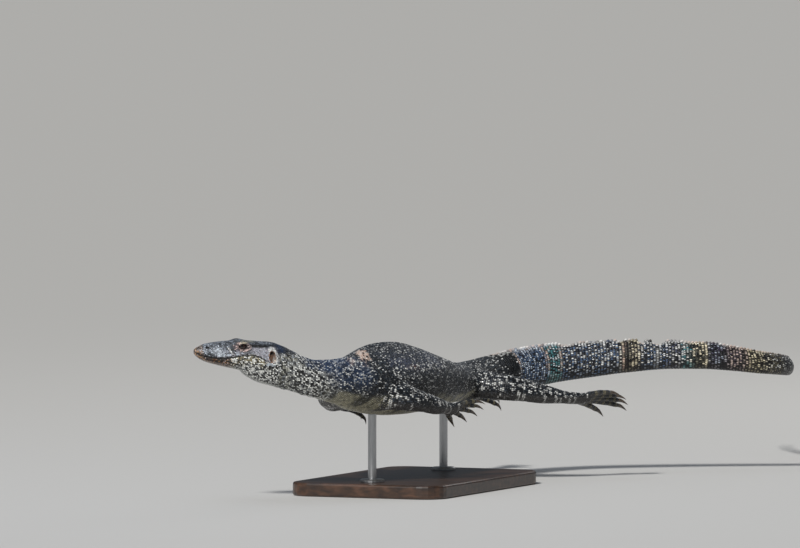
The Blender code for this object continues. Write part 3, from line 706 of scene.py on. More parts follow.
def neckMarks(at, colour, pale):
    # slate blue with pale streaks that slant back
    s, up, cloud, other, third, hand, arc = pick(at, "s up cloud other third hand arc")
    onNeck = ramp(s, 0.112, 0.150) * fall(s, 0.215, 0.245) * ramp(up, -0.03, 0.0)
    across, along = 0.70 * s - 0.71 * arc, 0.71 * s + 0.70 * arc
    streaks = dotField(across / 0.0070, along / 0.0038 + hand, 0.32, 0.62, 15)
    colour = layered(
        colour,
        ("neckBlue", 0.9 * onNeck * (1 - 0.5 * ramp(cloud, 0.5, 0.8))),
        ("blueGrey", 0.85 * onNeck * streaks * (0.5 + 0.5 * ramp(third, 0.2, 0.5))),
    )
    return colour, np.where(onNeck > 0.3, ramp(other, 0.80, 0.84) * (0.4 + 0.6 * third), pale)


# Tail's lengths of different tone
tail = {
    # distance, colour of the dark scales there
    "tones": (
        (0.640, "slate"), (0.704, "slate"), (0.709, "tailBlue"), (0.757, "tailBlue"), (0.763, "teal"),
        (0.779, "teal"), (0.785, "tailBlue"), (0.862, "tailBlue"), (0.868, "bark"), (0.888, "bark"),
        (0.895, "tailBlue"), (0.922, "tailBlue"), (0.935, "tailViolet"), (0.945, "tailViolet"),
        (0.952, "teal"), (0.961, "teal"), (0.966, "olive"), (0.979, "olive"), (0.985, "purple"),
        (1.000, "purple"), (1.008, "plum"), (1.030, "plum"), (1.038, "yellow"), (1.052, "yellow"),
        (1.062, "slate"),
    ),
    # distance, colour of the pale crowns there
    "crowns": (
        (0.700, "dot"), (0.712, "sheen"), (0.760, "sheen"), (0.785, "dot"), (0.862, "dot"),
        (0.869, "warmDot"), (0.889, "warmDot"), (0.897, "dot"), (0.955, "dot"), (0.966, "warmDot"),
        (0.980, "warmDot"), (0.988, "blueGrey"), (1.004, "blueGrey"), (1.014, "rimPink"),
        (1.036, "rimPink"), (1.044, "warmDot"),
    ),
    # distance, share of the scales that have a pale crown
    "paleShare": (
        (0.66, 0.12), (0.70, 0.10), (0.71, 0.44), (0.75, 0.44), (0.765, 0.26), (0.778, 0.26), (0.79, 0.40),
        (0.86, 0.46), (0.87, 0.58), (0.90, 0.44), (0.95, 0.46), (1.03, 0.50), (1.05, 0.52), (1.08, 0.24),
    ),
    # distance, share of the scales that aren't black
    "toneShare": ((0.700, 0.44), (0.709, 0.66), (0.782, 0.66), (0.790, 0.44)),
    # dotted lines where lengths meet: distance, how far they lean back with height, half width, colour
    "lines": (
        (0.7065, 0.00, 0.0018, "rimPink"), (0.7597, -0.60, 0.0018, "rimPink"),
        (0.7600, 1.05, 0.0018, "rimPink"), (0.7812, 0.25, 0.0018, "rimPink"), (0.8700, 0.14, 0.0020, "scar"),
        (0.9150, 0.60, 0.0014, "dot"), (0.9813, 0.10, 0.0014, "warmDot"),
    ),
    # a dark line: distance, half width
    "darkLine": (0.8752, 0.0030),
}


def tailMarks(at, colour, pale, onTail):
    # whorls of scales, dark or with a pale crown, in lengths of different tone, then colours of pale crowns
    s, up, elevation, grain, fine, other, third = pick(at, "s up elevation grain fine other third")
    rear = ramp(s, 1.06, 1.08)
    beyond = rear * ramp(np.sin(math.tau * (s - 1.062) / 0.085), 0.2, 0.7)
    tones = blendTo(coloursAlong(s, tail["tones"]), "yellow", 0.6 * beyond)
    gaps = np.interp(s, *zip(*tail["toneShare"]))
    colour = layered(
        colour,
        (tones, onTail * (0.70 + 0.30 * grain)),
        ("black", 0.92 * onTail * ramp(third - gaps, 0.0, 0.06)),
    )
    chance = np.interp(s, *zip(*tail["paleShare"])) + (0.40 - 0.2 * rear) * ramp(elevation, 58, 74)
    whorls = ramp(chance - other, -0.02, 0.10) * (0.5 + 0.5 * ramp(fine, 0.3, 0.6))
    pale = np.where(onTail > 0.5, whorls, pale)
    upper = ramp(up, -0.03, -0.01)
    for place, lean, half, name in tail["lines"]:
        gone = 0.10 + 0.90 * ramp(other, 0.28, 0.38)
        line = mound(s, place + lean * np.maximum(up, -0.002), half) * upper
        colour = blendTo(colour, name, 0.9 * gone * line)
        pale = pale * (1 - line)
    dark = mound(s, *tail["darkLine"])
    pale = pale * (1 - np.clip(1.5 * dark, 0, 1))
    rim = onTail * ramp(elevation, 62, 76) * (1 - rear) * ramp(other, 0.25, 0.35)
    colour = layered(
        colour,
        ("black", 0.98 * dark * upper),
        ("rimPink", 0.7 * rim * np.clip(mound(s, 0.735, 0.028) + mound(s, 0.785, 0.02), 0, 1)),
    )
    crowns = blendTo(allOver("dot", s), coloursAlong(s, tail["crowns"]), onTail * (1 - rear))
    return colour, pale, crowns


def upperHeadMarks(at):
    # pale grey-blue snout with a painted reflection as a sheen and painted glints by the nostril, black
    # specks before the eye, lilac cheek, dark brow, temple and nape
    s, up, grain, fine, other, third = pick(at, "s up grain fine other third")
    snoutSide = fall(s, 0.043, 0.052) * fall(up, 0.0395, 0.0450)
    cheek = ramp(s, 0.066, 0.076) * fall(s, 0.103, 0.112) * fall(up, 0.0365, 0.0400)
    below = mound(s, 0.0560, 0.0160) * fall(up, 0.0330, 0.0360)
    # painted reflection: a pale sheen of sky light slanting across the side of the snout
    sheen = mound(s, 0.0300 + 0.75 * (0.0320 - up), 0.0062) * mound(up, 0.0318, 0.0062)
    before = ramp(s, 0.030, 0.040) * fall(s, 0.056, 0.064) * fall(up, 0.0385, 0.0425)
    # painted highlights: single scales by the nostril, bright as glints
    lights = mound(s, 0.0190, 0.0080) * mound(up, 0.0352, 0.0044) * ramp(third, 0.50, 0.62)
    lip = mound(up - sideLine(s), 0.0026, 0.0024) * ramp(s, 0.007, 0.011) * fall(s, 0.022, 0.028)
    offCheek, offSheen = 1 - 0.7 * cheek, 1 - 0.7 * sheen
    streak = mound(up, 0.0397 - 0.04 * (s - 0.080), 0.0017) * ramp(s, 0.069, 0.073)
    streak = streak * fall(s, 0.091, 0.097)
    nape = ramp(s, 0.097, 0.107) * ramp(up, 0.0275, 0.0320)
    return layered(
        allOver("slateLight", s),
        ("slate", 0.9 * ramp(grain, 0.35, 0.6)),
        ("blueGrey", 0.8 * ramp(other, 0.66, 0.85)),
        ("blueGrey", 0.45 * ramp(up, 0.0400, 0.0430) * fall(grain, 0.5, 0.8)),
        ("blueGrey", 0.95 * snoutSide * (1 - 0.6 * ramp(up, 0.0360, 0.0400))),
        ("lilac", 0.95 * np.maximum(cheek, below)),
        ("sheen", 0.6 * cheek * ramp(third, 0.72, 0.85)),
        ("slateLight", 0.5 * cheek * ramp(fine, 0.55, 0.75)),
        ("glint", np.clip(1.3 * sheen, 0, 1) * (0.55 + 0.45 * ramp(third, 0.25, 0.65))),
        ("blueGrey", 0.8 * ramp(third, 0.70, 0.76) * before),
        ("black", 0.92 * ramp(other, 0.64, 0.72) * before),
        ("glint", 0.75 * lights),
        ("black", 0.85 * np.clip(1.4 * lip, 0, 1) * (1 - 0.7 * ramp(other, 0.70, 0.76))),
        ("sheen", 0.7 * ramp(third, 0.74, 0.84) * np.maximum(snoutSide, below)),
        ("black", 0.85 * ramp(other, 0.72, 0.78) * (1 - before) * offCheek * offSheen),
        ("slate", 0.7 * ramp(fine, 0.52, 0.70) * (1 - 0.8 * cheek) * offSheen),
        ("black", 0.98 * np.clip(1.7 * streak, 0, 1)),
        ("slate", 0.9 * nape * (1 - 0.8 * ramp(other, 0.70, 0.78))),
        ("neckBlue", 0.6 * nape * mound(s, 0.1100, 0.0060)),
    )


def lowerHeadMarks(at):
    # brown and orange at the front of the jaw, yellow and white lips, and a white throat netted with black
    s, up, elevation, grain, fine, other, third, hand = pick(at, "s up elevation grain fine other third hand")
    mottle = dotField(s / 0.0032, up / 0.0030 + hand, 0.34, 0.70, 61)
    netting = dotField(s / 0.0040, up / 0.0036 + hand, 0.33, 0.70, 71)
    throat = layered(
        allOver("throat", s),
        ("slateLight", 0.8 * ramp(third, 0.62, 0.72)),
        ("black", 0.97 * np.maximum(netting, ramp(fine, 0.62, 0.68))),
    )
    jaw = layered(
        allOver("yellow", s),
        ("throat", 0.95 * np.maximum(mottle, ramp(third, 0.42, 0.50))),
        ("black", 0.94 * np.maximum(ramp(fine, 0.62, 0.68), ramp(other, 0.74, 0.78))),
    )
    under = ramp(sideLine(s) - 0.011 - up, -0.002, 0.004) * ramp(s, 0.048, 0.062)
    return layered(
        allOver("bark", s),
        ("orange", 0.80 * ramp(grain, 0.40, 0.58)),
        ("gold", 0.95 * ramp(third, 0.72, 0.78)),
        ("pink", 0.85 * fall(third, 0.12, 0.18)),
        ("black", 0.97 * np.maximum(ramp(fine, 0.50, 0.56), ramp(other, 0.54, 0.60))),
        ("rimPink", 0.70 * ramp(-elevation, 25, 50) * (1 - 0.6 * ramp(other, 0.54, 0.60))),
        (jaw, ramp(s, 0.040, 0.050)),
        (throat, np.maximum(under, ramp(s, 0.088, 0.096))),
        (palette["throat"] * 0.75, 0.7 * ramp(-elevation, 55, 80)),
    )


def eyeMarks(at, face):
    # a pink halo of lid skin with dark parts above and behind, a pale brim and a black rim
    s, up, grain, other, third = pick(at, "s up grain other third")
    along, height = s - head["eyePlace"][0], up - head["eyePlace"][1]
    eye = ring(along, height, head["lidOpening"], 1.9)
    halo = ring(along + 0.0010, height + 0.0002, (0.0122, 0.0068), 1.8)
    lids = fall(halo, 0.88, 1.02)
    over = ramp(height, 0.0018, 0.0034) * ramp(along, -0.0040, -0.0020)
    after = ramp(along, 0.0052, 0.0076) * ramp(height, -0.0040, -0.0022)
    brim = mound(height, 0.0050, 0.0008) * fall(np.abs(along - 0.001), 0.0040, 0.0060)
    return layered(
        face,
        ("plum", 0.8 * lids),
        ("pink", 0.97 * lids * np.maximum(ramp(grain, 0.34, 0.52), ramp(third, 0.55, 0.65))),
        ("black", 0.75 * lids * ramp(other, 0.80, 0.86)),
        ("slate", 0.85 * lids * np.maximum(over, after) * (1 - 0.6 * ramp(third, 0.60, 0.70))),
        ("warmDot", 0.8 * brim),
        ("black", 0.9 * fall(eye, 1.10, 1.30)),
        ("black", 0.8 * mound(halo, 1.08, 0.08) * ramp(grain, 0.30, 0.5)),
    )


def creaseMarks(at, face):
    # a white line between black ones before the eye, a mossy ledge over it, and the dark nostril, its hollow
    # painted black as shade
    s, up, other = pick(at, "s up other")
    along, height = s - head["eyePlace"][0], up - head["eyePlace"][1]
    cleft = s - 0.0419 - 0.667 * (0.0383 - up)
    reached = fall(np.abs(up - 0.0338), 0.0036, 0.0052)
    ledge = mound(height, 0.0072 - 0.06 * (along - 0.001), 0.0011)
    ledge = ledge * fall(np.abs(along - 0.007), 0.007, 0.011)
    nostril = ring(s - head["nostrilPlace"][0], up - head["nostrilPlace"][1], head["nostrilSize"])
    return layered(
        face,
        ("black", 0.8 * reached * mound(np.abs(cleft), 0.0021, 0.0008)),
        ("dot", 0.98 * reached * mound(cleft, 0, 0.0008)),
        ("moss", 0.9 * ledge * (1 - 0.8 * ramp(other, 0.6, 0.7))),
        # painted shade: black in the nostril's hollow and round its edge
        ("black", 0.95 * fall(nostril, 0.9, 1.6)),
    )


def earMarks(at, face):
    # white behind the ear, a pale lobe with a dark spot below it, and a tan drum, dark above with painted
    # shadow
    s, up, grain, fine, other = pick(at, "s up grain fine other")
    ear = ring(s - head["earPlace"][0], up - head["earPlace"][1], head["earSize"])
    behind = fall(ear, 1.55, 1.95) * ramp(s + 0.5 * (up - 0.0256), 0.0965, 0.0990)
    lobe = ring(s - 0.0955, up - 0.0152, (0.0060, 0.0024))
    spot = ring(s - 0.0945, up - 0.0134, (0.0018, 0.0014))
    shadow = ring(s - 0.0978, up - 0.0300, (0.0024, 0.0024))
    drum = fall(ear, 1.0, 1.22)
    mostly = 1 - 0.7 * ramp(other, 0.70, 0.78)
    return layered(
        face,
        ("dot", 0.92 * behind * mostly),
        ("sheen", 0.85 * fall(lobe, 0.8, 1.15) * (1 - 0.8 * ramp(other, 0.70, 0.78))),
        ("black", 0.95 * fall(spot, 0.8, 1.2)),
        ("tan", 0.95 * drum),
        ("orange", 0.85 * drum * ramp(fine, 0.42, 0.58)),
        ("black", 0.5 * drum * ramp(grain, 0.60, 0.75)),
        ("throat", 0.9 * drum * mound(s, 0.1000, 0.0011) * fall(up, 0.0235, 0.0265)),
        # painted shadow: black on the drum's upper part and in the ear's top under its rim
        ("black", 0.8 * drum * mound(s, 0.1000, 0.0010) * ramp(up, 0.0245, 0.0275)),
        ("black", 0.9 * fall(shadow, 0.8, 1.2)),
    )


def headMarks(at):
    # the parts of the head, the tip of the snout, and the mouth's dark line with a crease behind it, both
    # painted shade in their grooves
    s, up, fine, other, third = pick(at, "s up fine other third")
    lowPart = fall(up, sideLine(s) - 0.0002, sideLine(s) + 0.0022)
    lowPart = np.where(s > 0.088, fall(up, 0.0165, 0.0215), lowPart)
    tip = fall(s, 0.006, 0.012)
    face = layered(
        upperHeadMarks(at),
        (lowerHeadMarks(at), lowPart),
        ("tipTan", 0.95 * tip * (0.6 + 0.4 * ramp(fine, 0.3, 0.6))),
        ("gold", 0.7 * tip * ramp(third, 0.68, 0.74) * fall(up, 0.0330, 0.0370)),
        ("lilac", 0.7 * tip * fall(third, 0.14, 0.20)),
        ("black", 0.9 * tip * ramp(other, 0.58, 0.64)),
    )
    # painted shade: black along the closed mouth's groove and in the crease behind its corner
    slit = np.clip((body["mouthCorner"] - s) / 0.004, 0, 1) * mound(up - sideLine(s), 0, 0.0009)
    crease = mound(up, np.interp(s, (0.076, 0.094), (0.0280, 0.0192)), 0.0007) * ramp(s, 0.075, 0.079)
    return layered(
        earMarks(at, creaseMarks(at, eyeMarks(at, face))),
        ("black", 0.95 * slit * (1 - 0.7 * mound(s, 0.058, 0.012))),
        ("black", 0.9 * crease * fall(s, 0.092, 0.096)),
    )


def jowlMarks(at, colour):
    # behind the ear: grey green with fine pale and black scales
    s, up, grain, fine, other, third = pick(at, "s up grain fine other third")
    jowl = ramp(s, 0.103, 0.110) * fall(s, 0.132, 0.146) * fall(up, 0.0270, 0.0320)
    mixture = layered(
        allOver("moss", s),
        ("blueGrey", 0.6 * ramp(grain, 0.45, 0.6)),
        ("throat", 0.85 * ramp(other, 0.66, 0.72)),
        ("black", 0.92 * np.maximum(ramp(third, 0.70, 0.76), ramp(fine, 0.62, 0.70))),
    )
    return blendTo(colour, mixture, 0.9 * jowl)


def throatMarks(at, colour):
    # the throat's netting carries on below the neck and fades into the dark side: colours, and where it is
    s, up, fine, third, hand = pick(at, "s up fine third hand")
    netted = ramp(s, 0.112, 0.130) * fall(s, 0.160, 0.190)
    line = np.interp(s, (0.11, 0.17), (0.0215, 0.0020))
    netted = netted * fall(up, line - 0.004, line + 0.004)
    pattern = dotField(s / 0.0048, (up + 0.6 * (s - 0.12)) / 0.0034 + hand, 0.35, 0.75, 81)
    netting = layered(
        allOver("throat", s),
        ("slateLight", 0.8 * ramp(third, 0.56, 0.66)),
        ("black", 0.97 * np.maximum(pattern, ramp(fine, 0.60, 0.66))),
    )
    return blendTo(colour, netting, 0.95 * netted), netted


def bodyMarks(s, out, up, elevation, places, fleck):
    # the markings as layers laid over each other, from the trunk to the tail, head and throat: first the
    # colour of a scale's sides, then that of its crown, a little lighter as a painted highlight on the
    # scale's top, and pale where a dot falls
    at = fieldsAt(s, out, up, elevation, places, fleck)
    onTail, onHead = ramp(s, 0.650, 0.680), fall(s, 0.112, 0.135)
    colour, pale, low = trunkMarks(at)
    colour, pale = neckMarks(at, colour, pale)
    colour, pale, crowns = tailMarks(at, colour, pale, onTail)
    colour = jowlMarks(at, blendTo(colour, headMarks(at), onHead))
    colour, netted = throatMarks(at, colour)
    pale = pale * (1 - onHead) * (1 - netted) * (1 - 0.8 * low)
    # the crowns' factors of 1.15 and 1.12 paint a highlight on each scale's top
    return blendTo(colour, crowns, 0.6 * pale), blendTo(colour * 1.15, crowns * 1.12, 0.98 * pale)


def limbMarks(t, turnUp, places, fleck):
    # dark slate with pale dots in loose rings, barred toes and greyer palms and soles: sides, then crowns,
    # which are a little lighter as a painted highlight on each scale's top
    cloud, grain = softNoise(places, 0.012, 91), softNoise(places, 0.0040, 92)
    other = np.mod(fleck * 17.31, 1)
    bare = fall(t, 6.6, 7.2)
    across, level = places[..., 0] / 0.0085 + places[..., 1] / 0.021, places[..., 2] / 0.0085
    spots = dotField(across, level + places[..., 1] / 0.0085, 0.27, 0.8, 95) * bare
    rings = ramp(np.sin(math.tau * t / 0.55), 0.35, 0.8) * ramp(t, 6.8, 7.2)
    colour = layered(
        allOver("slate", t),
        ("black", 0.7 * ramp(cloud, 0.45, 0.8)),
        ("slateLight", 0.45 * ramp(fleck, 0.6, 1.0)),
        ("dot", 0.70 * spots),
        ("palm", 0.75 * ramp(-turnUp, 0.2, 0.7) * (0.6 + 0.4 * grain)),
        ("yellow", 0.6 * rings),
    )
    single = ramp(other, 0.76, 0.82) * bare * ramp(turnUp, -0.5, 0.0)
    # the crown's factor of 1.15 paints a highlight on each scale's top
    return colour, blendTo(colour * 1.15, "dot", 0.8 * np.maximum(spots, single))


def makeMesh(name, points, groups):
    # one mesh from whole arrays, turned right way out where the signed volume of its faces is negative
    points = np.asarray(points, float).reshape(-1, 3)
    middle = points.mean(0)
    volume = 0.0
    for group in groups:
        first = points[group[:, 0]] - middle
        for k in range(1, group.shape[1] - 1):
            second, third = points[group[:, k]] - middle, points[group[:, k + 1]] - middle
            volume += (first * np.cross(second, third)).sum()
    if volume < 0:
        groups = [group[:, ::-1] for group in groups]
    corners = np.concatenate([group.ravel() for group in groups]).astype(np.int32)
    totals = np.concatenate([np.full(len(group), group.shape[1]) for group in groups])
    mesh = bpy.data.meshes.new(name)
    mesh.vertices.add(len(points))
    mesh.vertices.foreach_set("co", points.astype(np.float32).ravel())
    mesh.loops.add(len(corners))
    mesh.loops.foreach_set("vertex_index", corners)
    mesh.polygons.add(len(totals))
    mesh.polygons.foreach_set("loop_start", np.concatenate([[0], np.cumsum(totals)[:-1]]).astype(np.int32))
    mesh.update(calc_edges=True)
    mesh.polygons.foreach_set("use_smooth", np.ones(len(totals), bool))
    return mesh


def addPiece(name, mesh, finish=None):
    # an object at the origin, which with a finish is a piece that rides on the root body
    piece = bpy.data.objects.new(name, mesh)
    bpy.context.scene.collection.objects.link(piece)
    if finish:
        mesh.materials.append(finish)
        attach(piece, "root")
    return piece


def paint(mesh, colours):
    # stores linear colours on the vertices, for the materials to read
    layer = mesh.attributes.new("Marking", "FLOAT_COLOR", "POINT")
    solid = np.concatenate([colours, np.ones((len(colours), 1))], 1)
    layer.data.foreach_set("color", solid.astype(np.float32).ravel())


def writeBakeMap(mesh, places):
    # the coat's map for the export's bake, from one place for each vertex
    layer = mesh.uv_layers.new(name="OFBake")
    index = np.empty(len(mesh.loops), np.int32)
    mesh.loops.foreach_get("vertex_index", index)
    inside = np.clip(places, 0.001, 0.999).reshape(-1, 2)
    layer.uv.foreach_set("vector", inside[index].astype(np.float32).ravel())


def sleeve(rings, closeStart=True, closeEnd=True):
    # quads round a grid of points whose columns close up, with a fan to the middle of each end
    count, around = rings.shape[:2]
    index = np.arange(count * around).reshape(count, around)
    after = np.roll(index, -1, axis=1)
    groups = [np.stack([index[:-1], index[1:], after[1:], after[:-1]], -1).reshape(-1, 4)]
    points = [rings.reshape(-1, 3)]
    for wanted, row, flip in ((closeStart, 0, False), (closeEnd, -1, True)):
        if wanted:
            tip = np.full(around, sum(len(part) for part in points))
            fan = np.stack([tip, index[row], after[row]], -1)
            groups.append(fan[:, ::-1] if flip else fan)
            points.append(rings[row].mean(0)[None])
    return np.concatenate(points), groups


def evaluated(piece):
    # the piece's mesh with its modifiers worked in
    mesh = bpy.data.meshes.new_from_object(piece.evaluated_get(bpy.context.evaluated_depsgraph_get()))
    piece.modifiers.clear()
    piece.data = mesh
    return mesh


def discard(piece):
    # takes away a helper object that no one sees
    bpy.data.objects.remove(piece)


def crowdEdge(s, angle, place, size, power=2.0, pull=0.75, width=0.35):
    # moves grid points along the ray from an opening's middle so that they crowd at its edge
    along, height = s - place[0], plainTube(s, angle, 0.0)[1] - place[1]
    edge = ring(along, height, size, power)
    moved = 1 + (edge - 1) * (1 - pull * np.exp(-(((edge - 1) / width) ** 2)))
    factor = np.where((edge > 0.05) & (edge < 2.2), moved / np.maximum(edge, 0.05), 1)
    newS = place[0] + along * factor
    # the change of height becomes a change of angle through the slope of height over angle
    slope = (plainTube(s, angle + 0.01, 0.0)[1] - plainTube(s, angle - 0.01, 0.0)[1]) / 0.02
    safe = np.where(np.abs(slope) < 0.002, 0.002 * np.where(slope < 0, -1, 1), slope)
    return newS, angle + np.clip(height * (factor - 1) / safe, -0.12, 0.12)


def makeBodyMesh():
    # the grid of distance and angle from snout to tail tip, fine on the head and at the keel's bites, with
    # rings from, to and at steps of the numbers here
    steps = (
        (0.0050, 0.1180, 0.00085), (0.1185, 0.2300, 0.0024), (0.2330, 0.6600, 0.0044),
        (0.6640, 0.7800, 0.0040), (0.7800, 0.8080, 0.0020), (0.8120, 0.8840, 0.0040),
        (0.8860, 0.9300, 0.0016), (0.9340, 1.1000, 0.0042),
    )
    stops = np.concatenate([
        [0.0, 0.0004, 0.0010, 0.0018, 0.0028, 0.0040], *(np.arange(*step) for step in steps),
        np.linspace(1.1050, body["length"], 66),
    ])
    quarter = 90 * (np.arange(33) / 32) ** 1.15
    upper = np.concatenate([quarter[:-1], [90], (180 - quarter[:-1])[::-1]])
    angles = np.radians(np.concatenate([upper, -upper[-2:0:-1]]))
    s, angle = (grid.copy() for grid in np.meshgrid(stops, angles, indexing="ij"))
    front = stops < 0.125
    for place, size, power in (
        (head["eyePlace"], head["lidOpening"], head["lidPower"]),
        (head["earPlace"], head["earSize"], 2.0), (head["nostrilPlace"], head["nostrilSize"], 2.0),
    ):
        s[front], angle[front] = crowdEdge(s[front], angle[front], place, size, power)
    points, groups = sleeve(bodySkin(s, angle, -body["skinInset"]))
    return makeMesh("bodyForm", points, groups)


# How the forms are fused: voxels and smoothing of a limb with its toes, the last rings of its sole as row,
# share of size and way ahead, and the easing of folds at its root. Near is a square of a distance in
# metres, fold is in radians, and spread is the number of edges out from the fold.
fusing = {
    "voxel": 0.0015,
    "smoothing": 0.5,
    "smoothingRounds": 3,
    "toeInset": 0.0003,
    "soleEnd": ((-2, 0.75, 0.0016), (-1, 0.4, 0.0026)),
    "near": 0.0024,
    "fold": -0.30,
    "spread": 3,
    "easingRounds": 8,
}


def makeLimbForm(limbName, side):
    # the limb's tube and its toes, fused by a voxel remesh and smoothed
    surface, length = limbSkin(limbName, side)
    turns = np.arange(40) * math.tau / 40
    ends = length * np.concatenate([np.linspace(0, 1, 70), [1.012, 1.020]])
    rings = surface(np.minimum(ends, length)[:, None], turns[None, :], -body["skinInset"])
    # the sole's front edge rounds off over its last few millimetres
    for row, share, reach in fusing["soleEnd"]:
        middle = rings[row].mean(0)
        ahead = rings[-3].mean(0) - rings[-6].mean(0)
        ahead = ahead / np.linalg.norm(ahead)
        rings[row] = middle + (rings[row] - middle) * share + ahead * reach
    points, groups = sleeve(rings)
    form = addPiece("limbForm", makeMesh("limbForm", points, groups))
    toes = []
    for toe in toeLines(limbName, side):
        skin = toeSkin(limbs[limbName], toe, toeForm["flesh"])
        places = np.concatenate([np.linspace(0, 0.9, 22), [0.935, 0.965, 0.99, 1.01]])
        turns = np.arange(14) * math.tau / 14
        points, groups = sleeve(skin(places[:, None], turns[None, :], -fusing["toeInset"]))
        toes.append(addPiece("toeForm", makeMesh("toeForm", points, groups)))
    work = bmesh.new()
    for part in [form, *toes]:
        work.from_mesh(part.data)
    work.to_mesh(form.data)
    work.free()
    for toe in toes:
        discard(toe)
    fused = form.modifiers.new("fused", "REMESH")
    fused.mode = "VOXEL"
    fused.voxel_size = fusing["voxel"]
    smoothed = form.modifiers.new("smoothed", "SMOOTH")
    smoothed.factor = fusing["smoothing"]
    smoothed.iterations = fusing["smoothingRounds"]
    evaluated(form)
    return form


def makeSkin():
    # body and limbs joined to one closed skin, with the crease round each limb's root eased out
    skin = addPiece("skin", makeBodyMesh())
    forms = bpy.data.collections.new("forms")
    bpy.context.scene.collection.children.link(forms)
    for limbName in limbs:
        for side in sides:
            form = makeLimbForm(limbName, side)
            bpy.context.scene.collection.objects.unlink(form)
            forms.objects.link(form)
    joined = skin.modifiers.new("joined", "BOOLEAN")
    joined.operation = "UNION"
    joined.operand_type = "COLLECTION"
    joined.collection = forms
    joined.solver = "MANIFOLD"
    evaluated(skin)
    for form in list(forms.objects):
        discard(form)
    bpy.data.collections.remove(forms)
    easeCreases(skin.data)
    skin.data.polygons.foreach_set("use_smooth", np.ones(len(skin.data.polygons), bool))
    points = np.empty(len(skin.data.vertices) * 3, np.float32)
    skin.data.vertices.foreach_get("co", points)
    paint(skin.data, skinColours(points.reshape(-1, 3).astype(float)))
    return skin


def easeCreases(mesh):
    # points within a few edges of a sharp inward fold near a limb's root are averaged with their neighbours
    work = bmesh.new()
    work.from_mesh(mesh)
    roots = [line["samples"][12] for line in limbLines.values()]
    folded = set()
    for edge in work.edges:
        if len(edge.link_faces) == 2:
            middle = edge.verts[0].co
            if any(sum((a - b) ** 2 for a, b in zip(middle, root)) < fusing["near"] for root in roots):
                if edge.calc_face_angle_signed(0) < fusing["fold"]:
                    folded.update(edge.verts)
    for _ in range(fusing["spread"]):
        folded.update([edge.other_vert(vertex) for vertex in list(folded) for edge in vertex.link_edges])
    for _ in range(fusing["easingRounds"]):
        bmesh.ops.smooth_vert(
            work, verts=list(folded), factor=0.5, use_axis_x=True, use_axis_y=True, use_axis_z=True,
        )
    work.to_mesh(mesh)
    work.free()


def skinColours(points):
    # each point takes the marks of the limb that it lies by, or of its place along the body, darkened by
    # painted shade in the gaps between scales, less at the bare tip of the snout and more between the whorls
    # of the tail
    coarse = np.linspace(0, body["length"], 307)
    places = spineAt(coarse)[0]
    guess = np.concatenate([
        coarse[((part[:, None, :2] - places) ** 2).sum(-1).argmin(1)] for part in np.array_split(points, 20)
    ])
    s, out, up = onSpine(points, guess)
    side = sideLine(s)
    rise = np.where(up > side, topAt(s) - side, side - underside(s))
    elevation = np.degrees(np.arcsin(np.clip((up - side) / rise, -1, 1)))
    fleck = scatter([np.floor(points[:, i] / 0.0025) for i in range(3)], 5)
    colours = bodyMarks(s, out, up, elevation, points, fleck)[0]
    # painted shade: the skin between scales times 0.25, 0.80 at the bare snout tip and 0.11 between the
    # tail's whorls
    colours = colours * np.interp(s, (0.0015, 0.0040, 0.65, 0.70), (0.80, 0.25, 0.25, 0.11))[:, None]
    best = np.full(len(points), 1.0)
    number, turnUp = np.zeros(len(points)), np.zeros(len(points))
    for (limbName, side), line in limbLines.items():
        centre = line["samples"].mean(0)
        near = np.flatnonzero(np.linalg.norm(points - centre, axis=1) < 0.17)
        gap, t = offLimb(points[near], line)
        tip = line["samples"][-1]
        ahead = line["directions"](np.array([7.0]))[0][0]
        toward = (points[near] - tip) @ ahead
        t = np.where(toward > 0, 7 + toward / 0.02, t)
        gap = np.where((toward > 0) & (toward < 0.09) & (gap < 0.075), 0.0, gap)
        off = gap - 0.5 * np.clip(bodyGap(points[near], limbs[limbName]["root"][0] + 0.03), -0.01, 0.01)
        upward = line["directions"](np.minimum(t, 7.0))[2]
        height = ((points[near] - line["place"](np.minimum(t, 7.0))) * upward).sum(1) / 0.008
        closer = off < best[near]
        chosen = near[closer]
        best[chosen], number[chosen], turnUp[chosen] = off[closer], t[closer], height[closer]
    onLimb = fall(best, -0.001, 0.0025)
    own = limbMarks(number, np.clip(turnUp, -1, 1), points, fleck)[0]
    # painted shade: a limb's skin between its scales times 0.25
    return colours + (0.25 * own - colours) * onLimb[:, None]


scale = {
    # outlines, as shares of the scale's length and width: pointed in staggered rows, blocky in whorls
    "pointed": np.array([(0.64, 0), (0.32, 0.48), (-0.32, 0.48), (-0.64, 0), (-0.32, -0.48), (0.32, -0.48)]),
    "blocky": np.array(
        [(0.48, 0.34), (0.02, 0.49), (-0.47, 0.34), (-0.47, -0.34), (0.02, -0.49), (0.48, -0.34)]
    ),
    # heights of the rim in the skin, the ring that falls toward the snout, and the top
    "rise": np.concatenate([np.full(6, -0.25), (0.72, 0.66, 0.50, 0.42, 0.50, 0.66), [0.95]]),
    # the ring's share of the outline, how far it and the top are set back, and the points of a scale
    "ringShare": 0.70,
    "ringShift": (0.04, 0),
    "top": (0.10, 0.0),
    "points": 13,
    # brightness of the rim and of the ring, beside the colour of the scale's sides: painted shade, darkest
    # at the rim where the scale sinks into the skin
    "rimShade": 0.20,
    "ringShade": 0.86,
    # size of a scale's patch on the bake's map, whose sides are 1
    "bakePatch": 0.0023,
}
# Ray that finds the eased skin over a scale's root: how far outside it starts, its reach, most lift
ray = {"start": 0.009, "reach": 0.011, "most": 0.006}


